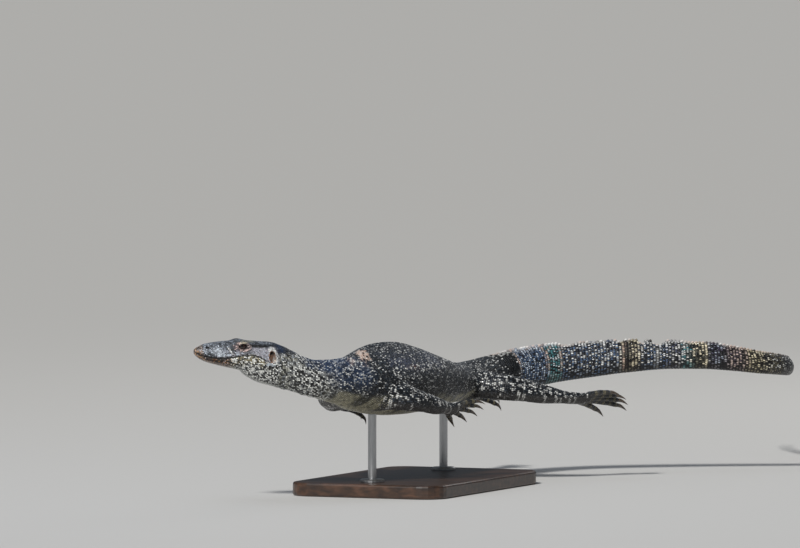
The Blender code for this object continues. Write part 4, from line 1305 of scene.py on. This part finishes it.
def overForm(surface, along, around, places, near):
    # how far the eased skin stands over each root near a limb, by a ray down on it from 9 mm outside
    lift = np.zeros(len(along))
    chosen = np.flatnonzero(near)
    outward = surface(along[chosen], around[chosen], 0.002) - places[chosen]
    outward = outward / np.linalg.norm(outward, axis=1, keepdims=True)
    for number, place, away in zip(chosen, places[chosen], outward):
        start = Vector(place + ray["start"] * away)
        hit, normal, _, reach = skinTree.ray_cast(start, Vector(-away), ray["reach"])
        if hit and normal.dot(Vector(away)) > 0:
            lift[number] = ray["start"] + body["skinInset"] - reach
    return np.clip(lift, 0, ray["most"])


def layScales(name, surface, roots, sizes, height, lift, block, marks, fleck, atlas, finish):
    # each scale: a rim sunk in the skin, a smaller ring, higher behind, and a top set back, all carried
    # onto the surface as root + size times the outline, with the height pushed out from the section
    along, around, perTurn = roots
    count = len(along)
    rim = scale["pointed"][None] * (1 - block)[:, None, None] + scale["blocky"][None] * block[:, None, None]
    top = np.broadcast_to(scale["top"], (count, 1, 2))
    corners = np.concatenate([rim, scale["ringShare"] * rim + scale["ringShift"], top], 1)
    u = along[:, None] + corners[..., 0] * sizes[0][:, None]
    v = around[:, None] + corners[..., 1] * (sizes[1] / perTurn)[:, None]
    points = surface(u, v, scale["rise"][None] * height[:, None] + lift[:, None] - body["skinInset"])
    first = np.arange(count)[:, None, None] * scale["points"]
    k = np.arange(6)
    following = (k + 1) % 6
    wall = (first + np.stack([k, following, following + 6, k + 6], -1)).reshape(-1, 4)
    crown = (first + np.stack([k + 6, following + 6, np.full(6, 12)], -1)).reshape(-1, 3)
    sole = (first[:, 0] + k[::-1]).reshape(-1, 6)
    mesh = makeMesh(name, points, [wall, crown, sole])
    # brightness differs from scale to scale
    marks = np.stack(marks) * (0.72 + 0.56 * fleck)[:, None]
    # painted shade: the rim and the ring are darker than the scale's sides, the rim most
    shades = (scale["rimShade"], scale["ringShade"])
    rimmed, ringed = (marks[0][:, None] * np.full((6, 1), shade) for shade in shades)
    paint(mesh, np.concatenate([rimmed, ringed, marks[1][:, None]], 1).reshape(-1, 3))
    writeBakeMap(mesh, atlas[:, None, :] + scale["bakePatch"] * corners)
    return addPiece(name, mesh, finish)


def rowsOf(surface, start, end, pitchAlong, pitchAround, seed):
    # rows a pitch apart; in each, scales at equal steps of the integral of arc over width, every other
    # row shifted by half a scale
    steps = [start + pitchAlong(start) / 2]
    while steps[-1] < end - pitchAlong(steps[-1]) / 2:
        steps.append(steps[-1] + pitchAlong(steps[-1]))
    stops = np.array(steps)
    turns = np.linspace(0, math.tau, 361)
    rings = surface(stops[:, None] + 0 * turns, turns[None, :] + 0 * stops[:, None], 0.0)
    arcs = np.linalg.norm(np.diff(rings, axis=1), axis=2)
    middles = (turns[1:] + turns[:-1]) / 2
    width = pitchAround(stops[:, None], middles[None, :])
    along, around, wide, perTurn = [], [], [], []
    for row, stop in enumerate(stops):
        weight = np.concatenate([[0], np.cumsum(arcs[row] / width[row])])
        number = max(4, round(weight[-1]))
        spread = (np.arange(number) + (0.5 if row % 2 else 0.0) + 0.13 * seed) % number
        turn = np.interp(spread / number * weight[-1], weight, turns)
        rate = np.interp(turn, middles, arcs[row] / np.diff(turns))
        along.append(np.full(number, stop))
        around.append(turn)
        wide.append(np.interp(turn, middles, width[row]) * weight[-1] / number)
        perTurn.append(np.maximum(rate, 0.002))
    along, around, wide, perTurn = (np.concatenate(part) for part in (along, around, wide, perTurn))
    jitter = np.random.default_rng(seed)
    return (
        along + jitter.normal(0, 0.05, len(along)) * pitchAlong(along),
        around + jitter.normal(0, 0.04, len(along)) * wide / perTurn,
        perTurn, wide, jitter.random(len(along)),
    )


def turnShare(around):
    # angle round the body as a share of a whole turn, 0 to 1
    return np.mod(around, math.tau) / math.tau


# The coat of scales, in metres
coatForm = {
    # distance along the body and a scale's length there: 1.5 mm on the snout, 4.2 mm in the tail's whorls
    "lengths": (
        (0, 0.0015), (0.10, 0.0018), (0.13, 0.0021), (0.24, 0.0025), (0.60, 0.0026), (0.68, 0.0042),
        (1.00, 0.0042), (1.25, 0.0034), (1.53, 0.0024),
    ),
    "widths": (
        (0, 0.0015), (0.10, 0.0017), (0.13, 0.0020), (0.24, 0.0022), (0.60, 0.0023), (0.68, 0.0024),
        (1.00, 0.0024), (1.53, 0.0016),
    ),
    "heights": (
        (0, 0.00038), (0.10, 0.00045), (0.24, 0.00062), (0.70, 0.00062), (1.2, 0.00045), (1.53, 0.00022),
    ),
    # at a limb's root, wrist and last row
    "wrist": 0.6,
    "limbLengths": (0.0026, 0.0023, 0.0018),
    "limbWidths": (0.0024, 0.0021, 0.0018),
    # at a limb's root and last row
    "limbHeights": (0.00058, 0.00038),
    "toeScale": {"length": 0.0019, "width": 0.0023, "height": 0.00034},
    # share of its pitch that a scale fills across, on the body and on the limbs
    "bodyFill": 0.93,
    "limbFill": 0.95,
    # coats of the body: name, where it starts and ends
    "bodyCoats": (
        ("scales_head", 0.0, 0.118), ("scales_neck", 0.118, 0.235), ("scales_chest", 0.235, 0.335),
        ("scales_ribs", 0.335, 0.435), ("scales_belly", 0.435, 0.535), ("scales_pelvis", 0.535, 0.655),
        ("scales_tail_base", 0.655, 0.800), ("scales_tail_front", 0.800, 0.950),
        ("scales_tail_middle", 0.950, 1.150), ("scales_tail_rear", 1.150, 1.528),
    ),
}


def alongPitch(s):
    # length of a scale, on straight lines between the places given
    return np.interp(s, *zip(*coatForm["lengths"]))


def aroundPitch(s, turn):
    # width of a scale, likewise, and a fifth wider under the belly
    wide = np.interp(s, *zip(*coatForm["widths"]))
    under = ramp(-elevationOf(turn), 15, 45) * ramp(s, 0.13, 0.25)
    return wide * (1 + 0.2 * under)


def dressBody(name, start, end, seed, finish):
    # scales of one length of the body, left out in the head's openings, the mouth's groove and the limbs
    along, around, perTurn, wide, fleck = rowsOf(bodySkin, start, end, alongPitch, aroundPitch, seed)
    along = np.clip(along, 0.0012, body["length"] - 0.002)
    places = bodySkin(along, around, 0.0)
    _, out, up = onSpine(places, along)
    keep = ~((along < body["headEnd"]) & insideOpenings(along, up))
    elevation = elevationOf(around)
    keep &= ~((along < body["mouthCorner"]) & (np.abs(up - sideLine(along)) < 0.0007))
    near = np.zeros(len(along), bool)
    for limbName, side in limbLines:
        if abs(limbs[limbName]["root"][0] + 0.02 - (start + end) / 2) < (end - start) / 2 + 0.08:
            gap = offLimb(places, limbLines[limbName, side], 36)[0]
            keep &= gap > -0.0005
            near |= gap < 0.022
    along, around, perTurn, wide, fleck = (part[keep] for part in (along, around, perTurn, wide, fleck))
    places, out, up, elevation, near = places[keep], out[keep], up[keep], elevation[keep], near[keep]
    lift = overForm(bodySkin, along, around, places, near)
    block = np.maximum(ramp(along, 0.63, 0.69), ramp(-elevation, 10, 35) * ramp(along, 0.15, 0.25))
    lips = (along < body["mouthCorner"]) * (np.abs(elevation) < 9)
    length = alongPitch(along) * (0.96 + 0.25 * (fleck - 0.5)) * (1 + 0.35 * lips)
    length = length * (1 - 0.12 * ramp(along, 0.68, 0.72))
    height = np.interp(along, *zip(*coatForm["heights"]))
    height = height * (0.85 + 0.3 * fleck) * (1 - 0.45 * ramp(-elevation, 15, 45))
    marks = bodyMarks(along, out, up, elevation, places, fleck)
    atlas = np.stack([(along - start) / (end - start), turnShare(around)], -1) * 0.99 + 0.005
    return layScales(
        name, bodySkin, (along, around, perTurn), (length, coatForm["bodyFill"] * wide), height, lift, block,
        marks, fleck, atlas, finish,
    )


def dressLimb(limbName, side, seed, finish):
    # scales of a limb, left out inside the trunk, and rows of small ones on its toes
    surface, length = limbSkin(limbName, side)
    wrist = coatForm["wrist"] * length
    small, fill = coatForm["toeScale"], coatForm["limbFill"]

    def pitch(distance):
        return np.interp(distance, (0, wrist, length), coatForm["limbLengths"])

    def across(distance, turn):
        return np.interp(distance, (0, wrist, length), coatForm["limbWidths"]) + 0 * turn

    along, around, perTurn, wide, fleck = rowsOf(surface, 0.0, length, pitch, across, seed)
    places = surface(along, around, 0.0)
    keep = bodyGap(places, limbs[limbName]["root"][0] + 0.02) > 0.0
    keep |= along > wrist
    along, around, perTurn, wide, fleck, places = (
        part[keep] for part in (along, around, perTurn, wide, fleck, places)
    )
    t = np.interp(along, np.linspace(0, length, 71), limbNumbers)
    lift = overForm(surface, along, around, places, t < 3.4)
    height = np.interp(along, (0, length), coatForm["limbHeights"]) * (0.85 + 0.3 * fleck)
    atlas = np.stack([along / length * 0.74, turnShare(around)], -1) * 0.99 + 0.005
    made = [layScales(
        f"scales_{limbName}_{side}", surface, (along, around, perTurn), (pitch(along), fill * wide), height,
        lift, np.zeros(len(along)), limbMarks(t, np.sin(around), places, fleck), fleck, atlas, finish,
    )]
    for number, toe in enumerate(toeLines(limbName, side)):
        skin = toeSkin(limbs[limbName], toe, toeForm["flesh"])
        reach = toe[4] + toeForm["sink"]
        first = 0.3 * toeForm["sink"] / reach
        along, around, perTurn, wide, fleck = rowsOf(
            skin, first, 0.965, lambda place: small["length"] / reach + 0 * place,
            lambda place, turn: small["width"] + 0 * place * turn, seed + number,
        )
        places = skin(along, around, 0.0)
        marks = limbMarks(6.5 + (along - first) * reach / 0.02, np.sin(around), places, fleck)
        atlas = np.stack([0.75 + 0.24 * along, (number + turnShare(around)) / 5.05], -1)
        even = np.ones(len(along))
        made.append(layScales(
            f"toeScales{number}", skin, (along, around, perTurn),
            (small["length"] / reach * even, fill * wide), small["height"] * even, 0 * along, 0.8 * even,
            marks, fleck, atlas, finish,
        ))
    return joinPieces(made)


def joinPieces(made):
    # one object from several, with their attributes and maps kept
    work = bmesh.new()
    for piece in made:
        work.from_mesh(piece.data)
    mesh = made[0].data
    work.to_mesh(mesh)
    work.free()
    mesh.polygons.foreach_set("use_smooth", np.ones(len(mesh.polygons), bool))
    for piece in made[1:]:
        discard(piece)
    return made[0]


# The crest along the keel, in metres
crestForm = {
    "pitch": 0.00475,
    "starts": 0.664,
    "ends": 1.475,
    "corners": 8,
    # from a scale's base to its tip: lean back, share of the width, height over the keel, share of tip colour
    "levels": (
        (0.0, 1.00, -0.0022, 0.0), (0.30, 0.86, 0.0002, 0.25), (0.62, 0.52, 0.0012, 0.8),
        (0.95, 0.10, 0.0022, 1.0),
    ),
}


def makeCrest(finish):
    # two close rows of saw-tooth scales along the keel, each a low cone that leans back
    pitch, corners, levels = crestForm["pitch"], crestForm["corners"], crestForm["levels"]
    stops = np.arange(crestForm["starts"], crestForm["ends"], pitch)
    size = np.clip((1.48 - stops) / 0.5, 0.22, 1) * np.clip((stops - 0.655) / 0.06, 0.3, 1)
    size = size * (1 - 0.5 * np.clip(biteAt(stops) / 0.003, 0, 1))
    fleck = np.random.default_rng(9).random(len(stops))
    turns = np.arange(corners) * math.tau / corners
    points, colours, atlas = [], [], []
    for sign in (1, -1):
        ringsOut = []
        for lean, share, up, _ in levels:
            s = stops[:, None] + pitch * (0.62 * share * np.cos(turns)[None] + 0.35 * lean)
            wide = np.maximum(0.0008, 0.085 * halfWidth(stops))[:, None]
            out = sign * wide * 0.9 * (1 - 0.75 * lean) + wide * share * np.sin(turns)[None]
            top = (topAt(stops) - biteAt(stops))[:, None] + up * size[:, None] + 0 * turns
            ringsOut.append(inBody(s, out, top))
        points.append(np.stack(ringsOut, 1))
        up = topAt(stops)
        tones = bodyMarks(stops, 0 * stops + sign, up, 0 * stops + 80, points[-1][:, 0, 0], fleck)[0]
        fading = 1 - 0.6 * ramp(stops, 1.06, 1.10)
        tips = layered(
            tones,
            ("black", 0.4),
            ("rimPink", (0.12 + 0.8 * ramp(fleck, 0.36, 0.60)) * fading),
            ("dot", 0.9 * ramp(fleck, 0.70, 0.85) * fading),
        )
        shares = np.repeat([level[3] for level in levels], corners)[None, :, None]
        colours.append(tones[:, None] * 0.5 * (1 - shares) + tips[:, None] * shares)
        base = np.stack([(stops - 0.66) / 0.83, np.full(len(stops), 0.5 + 0.2 * sign)], -1)
        around = np.stack([np.cos(turns), np.sin(turns)], -1)
        spread = np.concatenate([around * level[1] for level in levels])
        atlas.append(base[:, None, :] + 0.0015 * spread[None])
    points = np.concatenate(points)
    first = np.arange(len(points))[:, None, None] * corners * len(levels)
    k = np.arange(corners)
    after = (k + 1) % corners
    wall = first + np.stack([k, after, after + corners, k + corners], -1)
    walls = [(wall + corners * level).reshape(-1, 4) for level in range(len(levels) - 1)]
    lid = first[:, 0] + corners * (len(levels) - 1) + k
    caps = [lid.reshape(-1, corners), (first[:, 0] + k[::-1]).reshape(-1, corners)]
    mesh = makeMesh("crest", points.reshape(-1, 3), walls + caps)
    paint(mesh, np.concatenate(colours).reshape(-1, 3))
    writeBakeMap(mesh, np.concatenate(atlas))
    return addPiece("crest", mesh, finish)


def makeClaws(finish):
    # curved cones from each toe's end, their centre line falling as the toe form's claw rows say
    points, groups, total = [], [], 0
    for limbName, side in limbLines:
        for toe in toeLines(limbName, side):
            skin = toeSkin(limbs[limbName], toe, toeForm["claw"])
            start, end = toeForm["claw"][0][0], toeForm["claw"][-1][0]
            places = start + (end - start) * (np.arange(15) / 14) ** 0.85
            part, faces = sleeve(skin(places[:, None], np.arange(12)[None, :] * math.tau / 12))
            points.append(part)
            groups.append([group + total for group in faces])
            total += len(part)
    quads = np.concatenate([part[0] for part in groups])
    fans = np.concatenate([part[i] for part in groups for i in (1, 2)])
    return addPiece("claws", makeMesh("claws", np.concatenate(points), [quads, fans]), finish)


# The eyeballs: how far the axis leans ahead and up for each part out, the gap under the eye's radius, and
# how much lower the ball lies beyond the cornea, between these degrees from the axis
eyeForm = {
    "ahead": 0.22,
    "upward": 0.06,
    "gap": 0.0001,
    "corneaRise": 0.00012,
    "corneaEdge": (30, 42),
}


def makeEye(side, finish):
    # a ball on a grid of angle from the pupil's axis and turn, with a low cornea swelling over the iris
    sign = sides[side]
    centre = inBody(head["eyePlace"][0], sign * head["eyeOut"], head["eyePlace"][1])
    _, back, left = spineAt(np.array(head["eyePlace"][0]))
    axis = np.array((*left, 0)) * sign - eyeForm["ahead"] * np.array((*back, 0))
    axis = axis + np.array((0, 0, eyeForm["upward"]))
    axis = axis / np.linalg.norm(axis)
    first = np.cross(axis, (0, 0, 1))
    first = first / np.linalg.norm(first)
    second = np.cross(axis, first)
    tilt = np.radians(np.concatenate([np.linspace(2, 50, 20), np.linspace(55, 176, 20)]))
    turn = np.arange(40) * math.tau / 40
    lower = eyeForm["corneaRise"] * ramp(np.degrees(tilt), *eyeForm["corneaEdge"])
    radius = head["eyeRadius"] - eyeForm["gap"] - lower
    circle = first * np.cos(turn)[:, None] + second * np.sin(turn)[:, None]
    rings = centre + radius[:, None, None] * (
        axis * np.cos(tilt)[:, None, None] + circle[None] * np.sin(tilt)[:, None, None]
    )
    points, groups = sleeve(rings)
    mesh = makeMesh("eye_" + side + "_ball", points, groups)
    layer = mesh.attributes.new("Tilt", "FLOAT", "POINT")
    tilts = np.concatenate([np.repeat(np.degrees(tilt), len(turn)), [0, 180]])
    layer.data.foreach_set("value", tilts.astype(np.float32))
    eye = addPiece("eye_" + side + "_ball", mesh, finish)
    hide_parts("eye_" + side)
    return eye


def addNode(tree, kind, settings=None, inputs=None, stops=()):
    # adds one node: settings are its own properties, inputs are values, or sockets to link, and stops are
    # the places and colours of a colour ramp
    node = tree.nodes.new(kind)
    for name, value in (settings or {}).items():
        setattr(node, name, value)
    for name, value in (inputs or {}).items():
        if isinstance(value, bpy.types.NodeSocket):
            tree.links.new(value, node.inputs[name])
        else:
            node.inputs[name].default_value = value
    for number, (place, colour) in enumerate(stops):
        elements = node.color_ramp.elements
        element = elements[number] if number < 2 else elements.new(place)
        element.position, element.color = place, (*colour, 1)
    return node


def newMaterial(name, inputs):
    # a Principled surface with constant sockets, whose tree the caller goes on with
    made = bpy.data.materials.new(name)
    made.use_nodes = True
    tree = made.node_tree
    shader = tree.nodes["Principled BSDF"]
    for socket, value in inputs.items():
        shader.inputs[socket].default_value = value
    return made, tree, shader


def wetKeratin(name, coat, roughLow, roughHigh, grainSize, bump):
    # beta keratin scales that are wet: matt horn under a thin film, which gives small sharp glints, with
    # patches 18 mm across where the film is thicker, and a grain coarser than the real one, so that it shows
    made, tree, shader = newMaterial(name, {
        "IOR": 1.54, "Specular IOR Level": 0.3, "Coat Weight": coat, "Coat Roughness": 0.05, "Coat IOR": 1.33,
    })
    space = addNode(tree, "ShaderNodeTexCoord").outputs["Object"]
    marks = addNode(tree, "ShaderNodeAttribute", {"attribute_name": "Marking"}).outputs["Color"]
    grain = addNode(tree, "ShaderNodeTexNoise", inputs={
        "Vector": space, "Scale": 1 / grainSize, "Detail": 3.0,
    })
    shade = addNode(tree, "ShaderNodeValToRGB", inputs={"Fac": grain.outputs["Fac"]},
                    stops=((0.30, (0.80,) * 3), (0.70, (1.16,) * 3)))
    mixed = addNode(tree, "ShaderNodeMix", {"data_type": "RGBA", "blend_type": "MULTIPLY"},
                    {0: 1.0, 6: marks, 7: shade.outputs["Color"]})
    tree.links.new(mixed.outputs[2], shader.inputs["Base Color"])
    wet = addNode(tree, "ShaderNodeTexNoise", inputs={"Vector": space, "Scale": 1 / 0.018, "Detail": 2.0})
    rough = addNode(tree, "ShaderNodeMapRange", inputs={
        "Value": wet.outputs["Fac"], "From Min": 0.35, "From Max": 0.65,
        "To Min": roughLow, "To Max": roughHigh,
    })
    tree.links.new(rough.outputs["Result"], shader.inputs["Roughness"])
    relief = addNode(tree, "ShaderNodeBump",
                     inputs={"Height": grain.outputs["Fac"], "Strength": 0.5, "Distance": bump})
    tree.links.new(relief.outputs["Normal"], shader.inputs["Normal"])
    return made


def clawHorn():
    # solid keratin worn smooth: dark brown with paler streaks 1.6 mm across under a faint gloss
    made, tree, shader = newMaterial("wornClawHorn", {
        "IOR": 1.54, "Roughness": 0.30, "Coat Weight": 0.25, "Coat Roughness": 0.15,
    })
    space = addNode(tree, "ShaderNodeTexCoord").outputs["Object"]
    streaks = addNode(tree, "ShaderNodeTexNoise", inputs={
        "Vector": space, "Scale": 1 / 0.0016, "Detail": 2.0,
    })
    colour = addNode(tree, "ShaderNodeValToRGB", inputs={"Fac": streaks.outputs["Fac"]},
                     stops=((0.3, linearColour("#1B1714")), (0.75, linearColour("#5A4B3C"))))
    tree.links.new(colour.outputs["Color"], shader.inputs["Base Color"])
    relief = addNode(tree, "ShaderNodeBump",
                     inputs={"Height": streaks.outputs["Fac"], "Strength": 0.3, "Distance": 0.0001})
    tree.links.new(relief.outputs["Normal"], shader.inputs["Normal"])
    return made


def eyeGlass():
    # cornea over a dark brown iris: round black pupil, thin brown rim, brown-black beyond, under clear
    # gloss; the iris has fibres 0.6 mm across
    made, tree, shader = newMaterial("wetCornea", {
        "IOR": 1.38, "Roughness": 0.12, "Coat Weight": 1.0, "Coat Roughness": 0.02, "Coat IOR": 1.38,
    })
    tilt = addNode(tree, "ShaderNodeAttribute", {"attribute_name": "Tilt"}).outputs["Fac"]
    share = addNode(tree, "ShaderNodeMapRange", inputs={"Value": tilt, "From Min": 0.0, "From Max": 60.0})
    colour = addNode(tree, "ShaderNodeValToRGB", inputs={"Fac": share.outputs["Result"]}, stops=(
        (0.00, linearColour("#030303")), (0.27, linearColour("#040404")), (0.31, linearColour("#3C231C")),
        (0.42, linearColour("#251413")), (0.62, linearColour("#1A0F0C")), (0.80, linearColour("#0A0707")),
    ))
    space = addNode(tree, "ShaderNodeTexCoord").outputs["Object"]
    fibres = addNode(tree, "ShaderNodeTexNoise", inputs={"Vector": space, "Scale": 1 / 0.0006, "Detail": 2.0})
    shade = addNode(tree, "ShaderNodeValToRGB", inputs={"Fac": fibres.outputs["Fac"]},
                    stops=((0.3, (0.7,) * 3), (0.7, (1.25,) * 3)))
    mixed = addNode(tree, "ShaderNodeMix", {"data_type": "RGBA", "blend_type": "MULTIPLY"},
                    {0: 1.0, 6: colour.outputs["Color"], 7: shade.outputs["Color"]})
    tree.links.new(mixed.outputs[2], shader.inputs["Base Color"])
    return made


def stainedBeech():
    # beech board, stained dark and satin varnished: straight grain 6 mm wide and 110 mm long, and pores
    # 0.7 mm wide and 8 mm long, coarser than real ones so that they show, which roughen the varnish
    made, tree, shader = newMaterial("stainedBeech", {
        "IOR": 1.50, "Coat Weight": 0.35, "Coat Roughness": 0.22,
    })
    space = addNode(tree, "ShaderNodeTexCoord").outputs["Object"]
    turn = (0, 0, -math.radians(67))
    board = addNode(tree, "ShaderNodeMapping", inputs={
        "Vector": space, "Rotation": turn, "Scale": (9, 160, 160),
    })
    grain = addNode(tree, "ShaderNodeTexNoise", inputs={
        "Vector": board.outputs["Vector"], "Scale": 1.0, "Detail": 4.0, "Distortion": 0.3,
    })
    colour = addNode(tree, "ShaderNodeValToRGB", inputs={"Fac": grain.outputs["Fac"]}, stops=(
        (0.32, linearColour("#241710")), (0.52, linearColour("#3C281B")), (0.72, linearColour("#54392A")),
    ))
    tree.links.new(colour.outputs["Color"], shader.inputs["Base Color"])
    fine = addNode(tree, "ShaderNodeMapping", inputs={
        "Vector": space, "Rotation": turn, "Scale": (120, 1400, 1400),
    })
    pores = addNode(tree, "ShaderNodeTexNoise", inputs={
        "Vector": fine.outputs["Vector"], "Scale": 1.0, "Detail": 2.0,
    })
    rough = addNode(tree, "ShaderNodeMapRange", inputs={
        "Value": pores.outputs["Fac"], "To Min": 0.34, "To Max": 0.52,
    })
    tree.links.new(rough.outputs["Result"], shader.inputs["Roughness"])
    relief = addNode(tree, "ShaderNodeBump",
                     inputs={"Height": pores.outputs["Fac"], "Strength": 0.25, "Distance": 0.00015})
    tree.links.new(relief.outputs["Normal"], shader.inputs["Normal"])
    return made


def brushedSteel():
    # stainless rod, brushed along its length: upright lines that spread the highlight, 0.45 mm wide and
    # 17 mm long, which is coarser than real ones so that they show
    made, tree, shader = newMaterial("brushedStainless", {"Metallic": 1.0})
    space = addNode(tree, "ShaderNodeTexCoord").outputs["Object"]
    lines = addNode(tree, "ShaderNodeMapping", inputs={"Vector": space, "Scale": (2200, 2200, 60)})
    brush = addNode(tree, "ShaderNodeTexNoise", inputs={
        "Vector": lines.outputs["Vector"], "Scale": 1.0, "Detail": 2.0,
    })
    colour = addNode(tree, "ShaderNodeValToRGB", inputs={"Fac": brush.outputs["Fac"]},
                     stops=((0.3, linearColour("#A3A5A7")), (0.7, linearColour("#C3C4C5"))))
    tree.links.new(colour.outputs["Color"], shader.inputs["Base Color"])
    rough = addNode(tree, "ShaderNodeMapRange", inputs={
        "Value": brush.outputs["Fac"], "To Min": 0.22, "To Max": 0.42,
    })
    tree.links.new(rough.outputs["Result"], shader.inputs["Roughness"])
    relief = addNode(tree, "ShaderNodeBump",
                     inputs={"Height": brush.outputs["Fac"], "Strength": 0.15, "Distance": 0.00005})
    tree.links.new(relief.outputs["Normal"], shader.inputs["Normal"])
    return made


studio = {
    "cameraPlace": (-0.020, -16.246, 1.1064),
    "cameraTilt": 87.1,
    "lens": 558,
    "sensorWidth": 36,
    "clipping": (0.5, 300),
    "floorReach": 70,
    "floorColour": "#C4C3C0",
    "airColour": "#D6E2F0",
    "airStrength": 0.13,
    # a far round lamp, six degrees wide: degrees it leans from straight down and turns, watts a square metre
    "keyTurn": (52, -22),
    "keyStrength": 3.6,
    "keyWidth": 6,
    "keyColour": "#FFFDFA",
    # name, place, aimed at, width, height, power in watts, colour
    "lamps": (
        ("sky", (-0.6, -0.7, 2.4), (0.05, 0.1, 0.15), 2.2, 1.6, 14, "#E6EEFF"),
        ("rim", (1.4, 2.2, 1.5), (0.1, 0.1, 0.15), 1.2, 1.2, 6, "#FFFFFF"),
    ),
}


def addObject(name, data, place=(0, 0, 0), turn=(0, 0, 0)):
    # an object at its place, turned by radians about each axis
    thing = bpy.data.objects.new(name, data)
    thing.location, thing.rotation_euler = place, turn
    bpy.context.scene.collection.objects.link(thing)
    return thing


def makeStudio():
    # a long lens, a matt paper floor that reaches out of sight, even air, a far key lamp and two soft ones
    scene = bpy.context.scene
    lens = bpy.data.cameras.new("camera")
    lens.lens, lens.sensor_width = studio["lens"], studio["sensorWidth"]
    lens.clip_start, lens.clip_end = studio["clipping"]
    tilt = math.radians(studio["cameraTilt"])
    scene.camera = addObject("camera", lens, studio["cameraPlace"], (tilt, 0, 0))
    reach = studio["floorReach"]
    mesh = bpy.data.meshes.new("floor")
    corners = [(-reach, -reach, 0), (reach, -reach, 0), (reach, reach, 0), (-reach, reach, 0)]
    mesh.from_pydata(corners, [], [(0, 1, 2, 3)])
    addObject("floor", mesh)
    paper, _, shader = newMaterial("matPaper", {"Roughness": 0.85})
    shader.inputs["Base Color"].default_value = (*linearColour(studio["floorColour"]), 1)
    mesh.materials.append(paper)
    world = bpy.data.worlds.new("air")
    world.use_nodes = True
    air = world.node_tree.nodes["Background"]
    air.inputs["Color"].default_value = (*linearColour(studio["airColour"]), 1)
    air.inputs["Strength"].default_value = studio["airStrength"]
    scene.world = world
    scene.view_settings.view_transform = "Standard"
    key = bpy.data.lights.new("key", "SUN")
    key.energy, key.angle = studio["keyStrength"], math.radians(studio["keyWidth"])
    key.color = tuple(linearColour(studio["keyColour"]))
    lean, turn = studio["keyTurn"]
    addObject("key", key, turn=(math.radians(lean), 0, math.radians(turn)))
    for name, place, aim, width, height, power, colour in studio["lamps"]:
        lamp = bpy.data.lights.new(name, "AREA")
        lamp.shape, lamp.size, lamp.size_y, lamp.energy = "RECTANGLE", width, height, power
        lamp.color = tuple(linearColour(colour))
        toward = Vector(aim) - Vector(place)
        addObject(name, lamp, place, toward.to_track_quat("-Z", "Y").to_euler())


makeStudio()
print("studio made")

scaleFinish = wetKeratin("wetKeratinScales", 0.25, 0.17, 0.30, 0.0011, 0.00009)
skinFinish = wetKeratin("wetSkinBetweenScales", 0.05, 0.45, 0.60, 0.0008, 0.00010)
hornFinish = clawHorn()
eyeFinish = eyeGlass()

skin = makeSkin()
skin.data.materials.clear()
skin.data.materials.append(skinFinish)
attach(skin, "root")
flesh = ["head", "lower_jaw", "neck", "chest", "belly", "pelvis", "tail_base", "tail_front", "tail_middle",
         "tail_rear", "tail_tip"]
flesh += [f"{part}_{side}" for limb in limbs.values() for part in limb["replaced"] for side in sides]
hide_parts(*flesh)
skinTree = BVHTree.FromObject(skin, bpy.context.evaluated_depsgraph_get())
print("skin made:", len(skin.data.polygons), "faces")

for side in sides:
    makeEye(side, eyeFinish)
makeClaws(hornFinish)
makeCrest(scaleFinish)
print("eyes, claws and crest made")

scaleTotal = 0
for seed, (name, start, end) in enumerate(coatForm["bodyCoats"]):
    piece = dressBody(name, start, end, seed + 1, scaleFinish)
    scaleTotal += len(piece.data.vertices) // scale["points"]
for seed, (limbName, side) in enumerate(limbLines):
    piece = dressLimb(limbName, side, 20 + 6 * seed, scaleFinish)
    scaleTotal += len(piece.data.vertices) // scale["points"]
print("scales laid:", scaleTotal)

finishes = {"stand_base": stainedBeech(), "stand_rod_front": brushedSteel()}
finishes["stand_rod_rear"] = finishes["stand_rod_front"]
for name, finish in finishes.items():
    for slot in frame["nodes"][name].material_slots:
        slot.material = finish
print("stand finished")
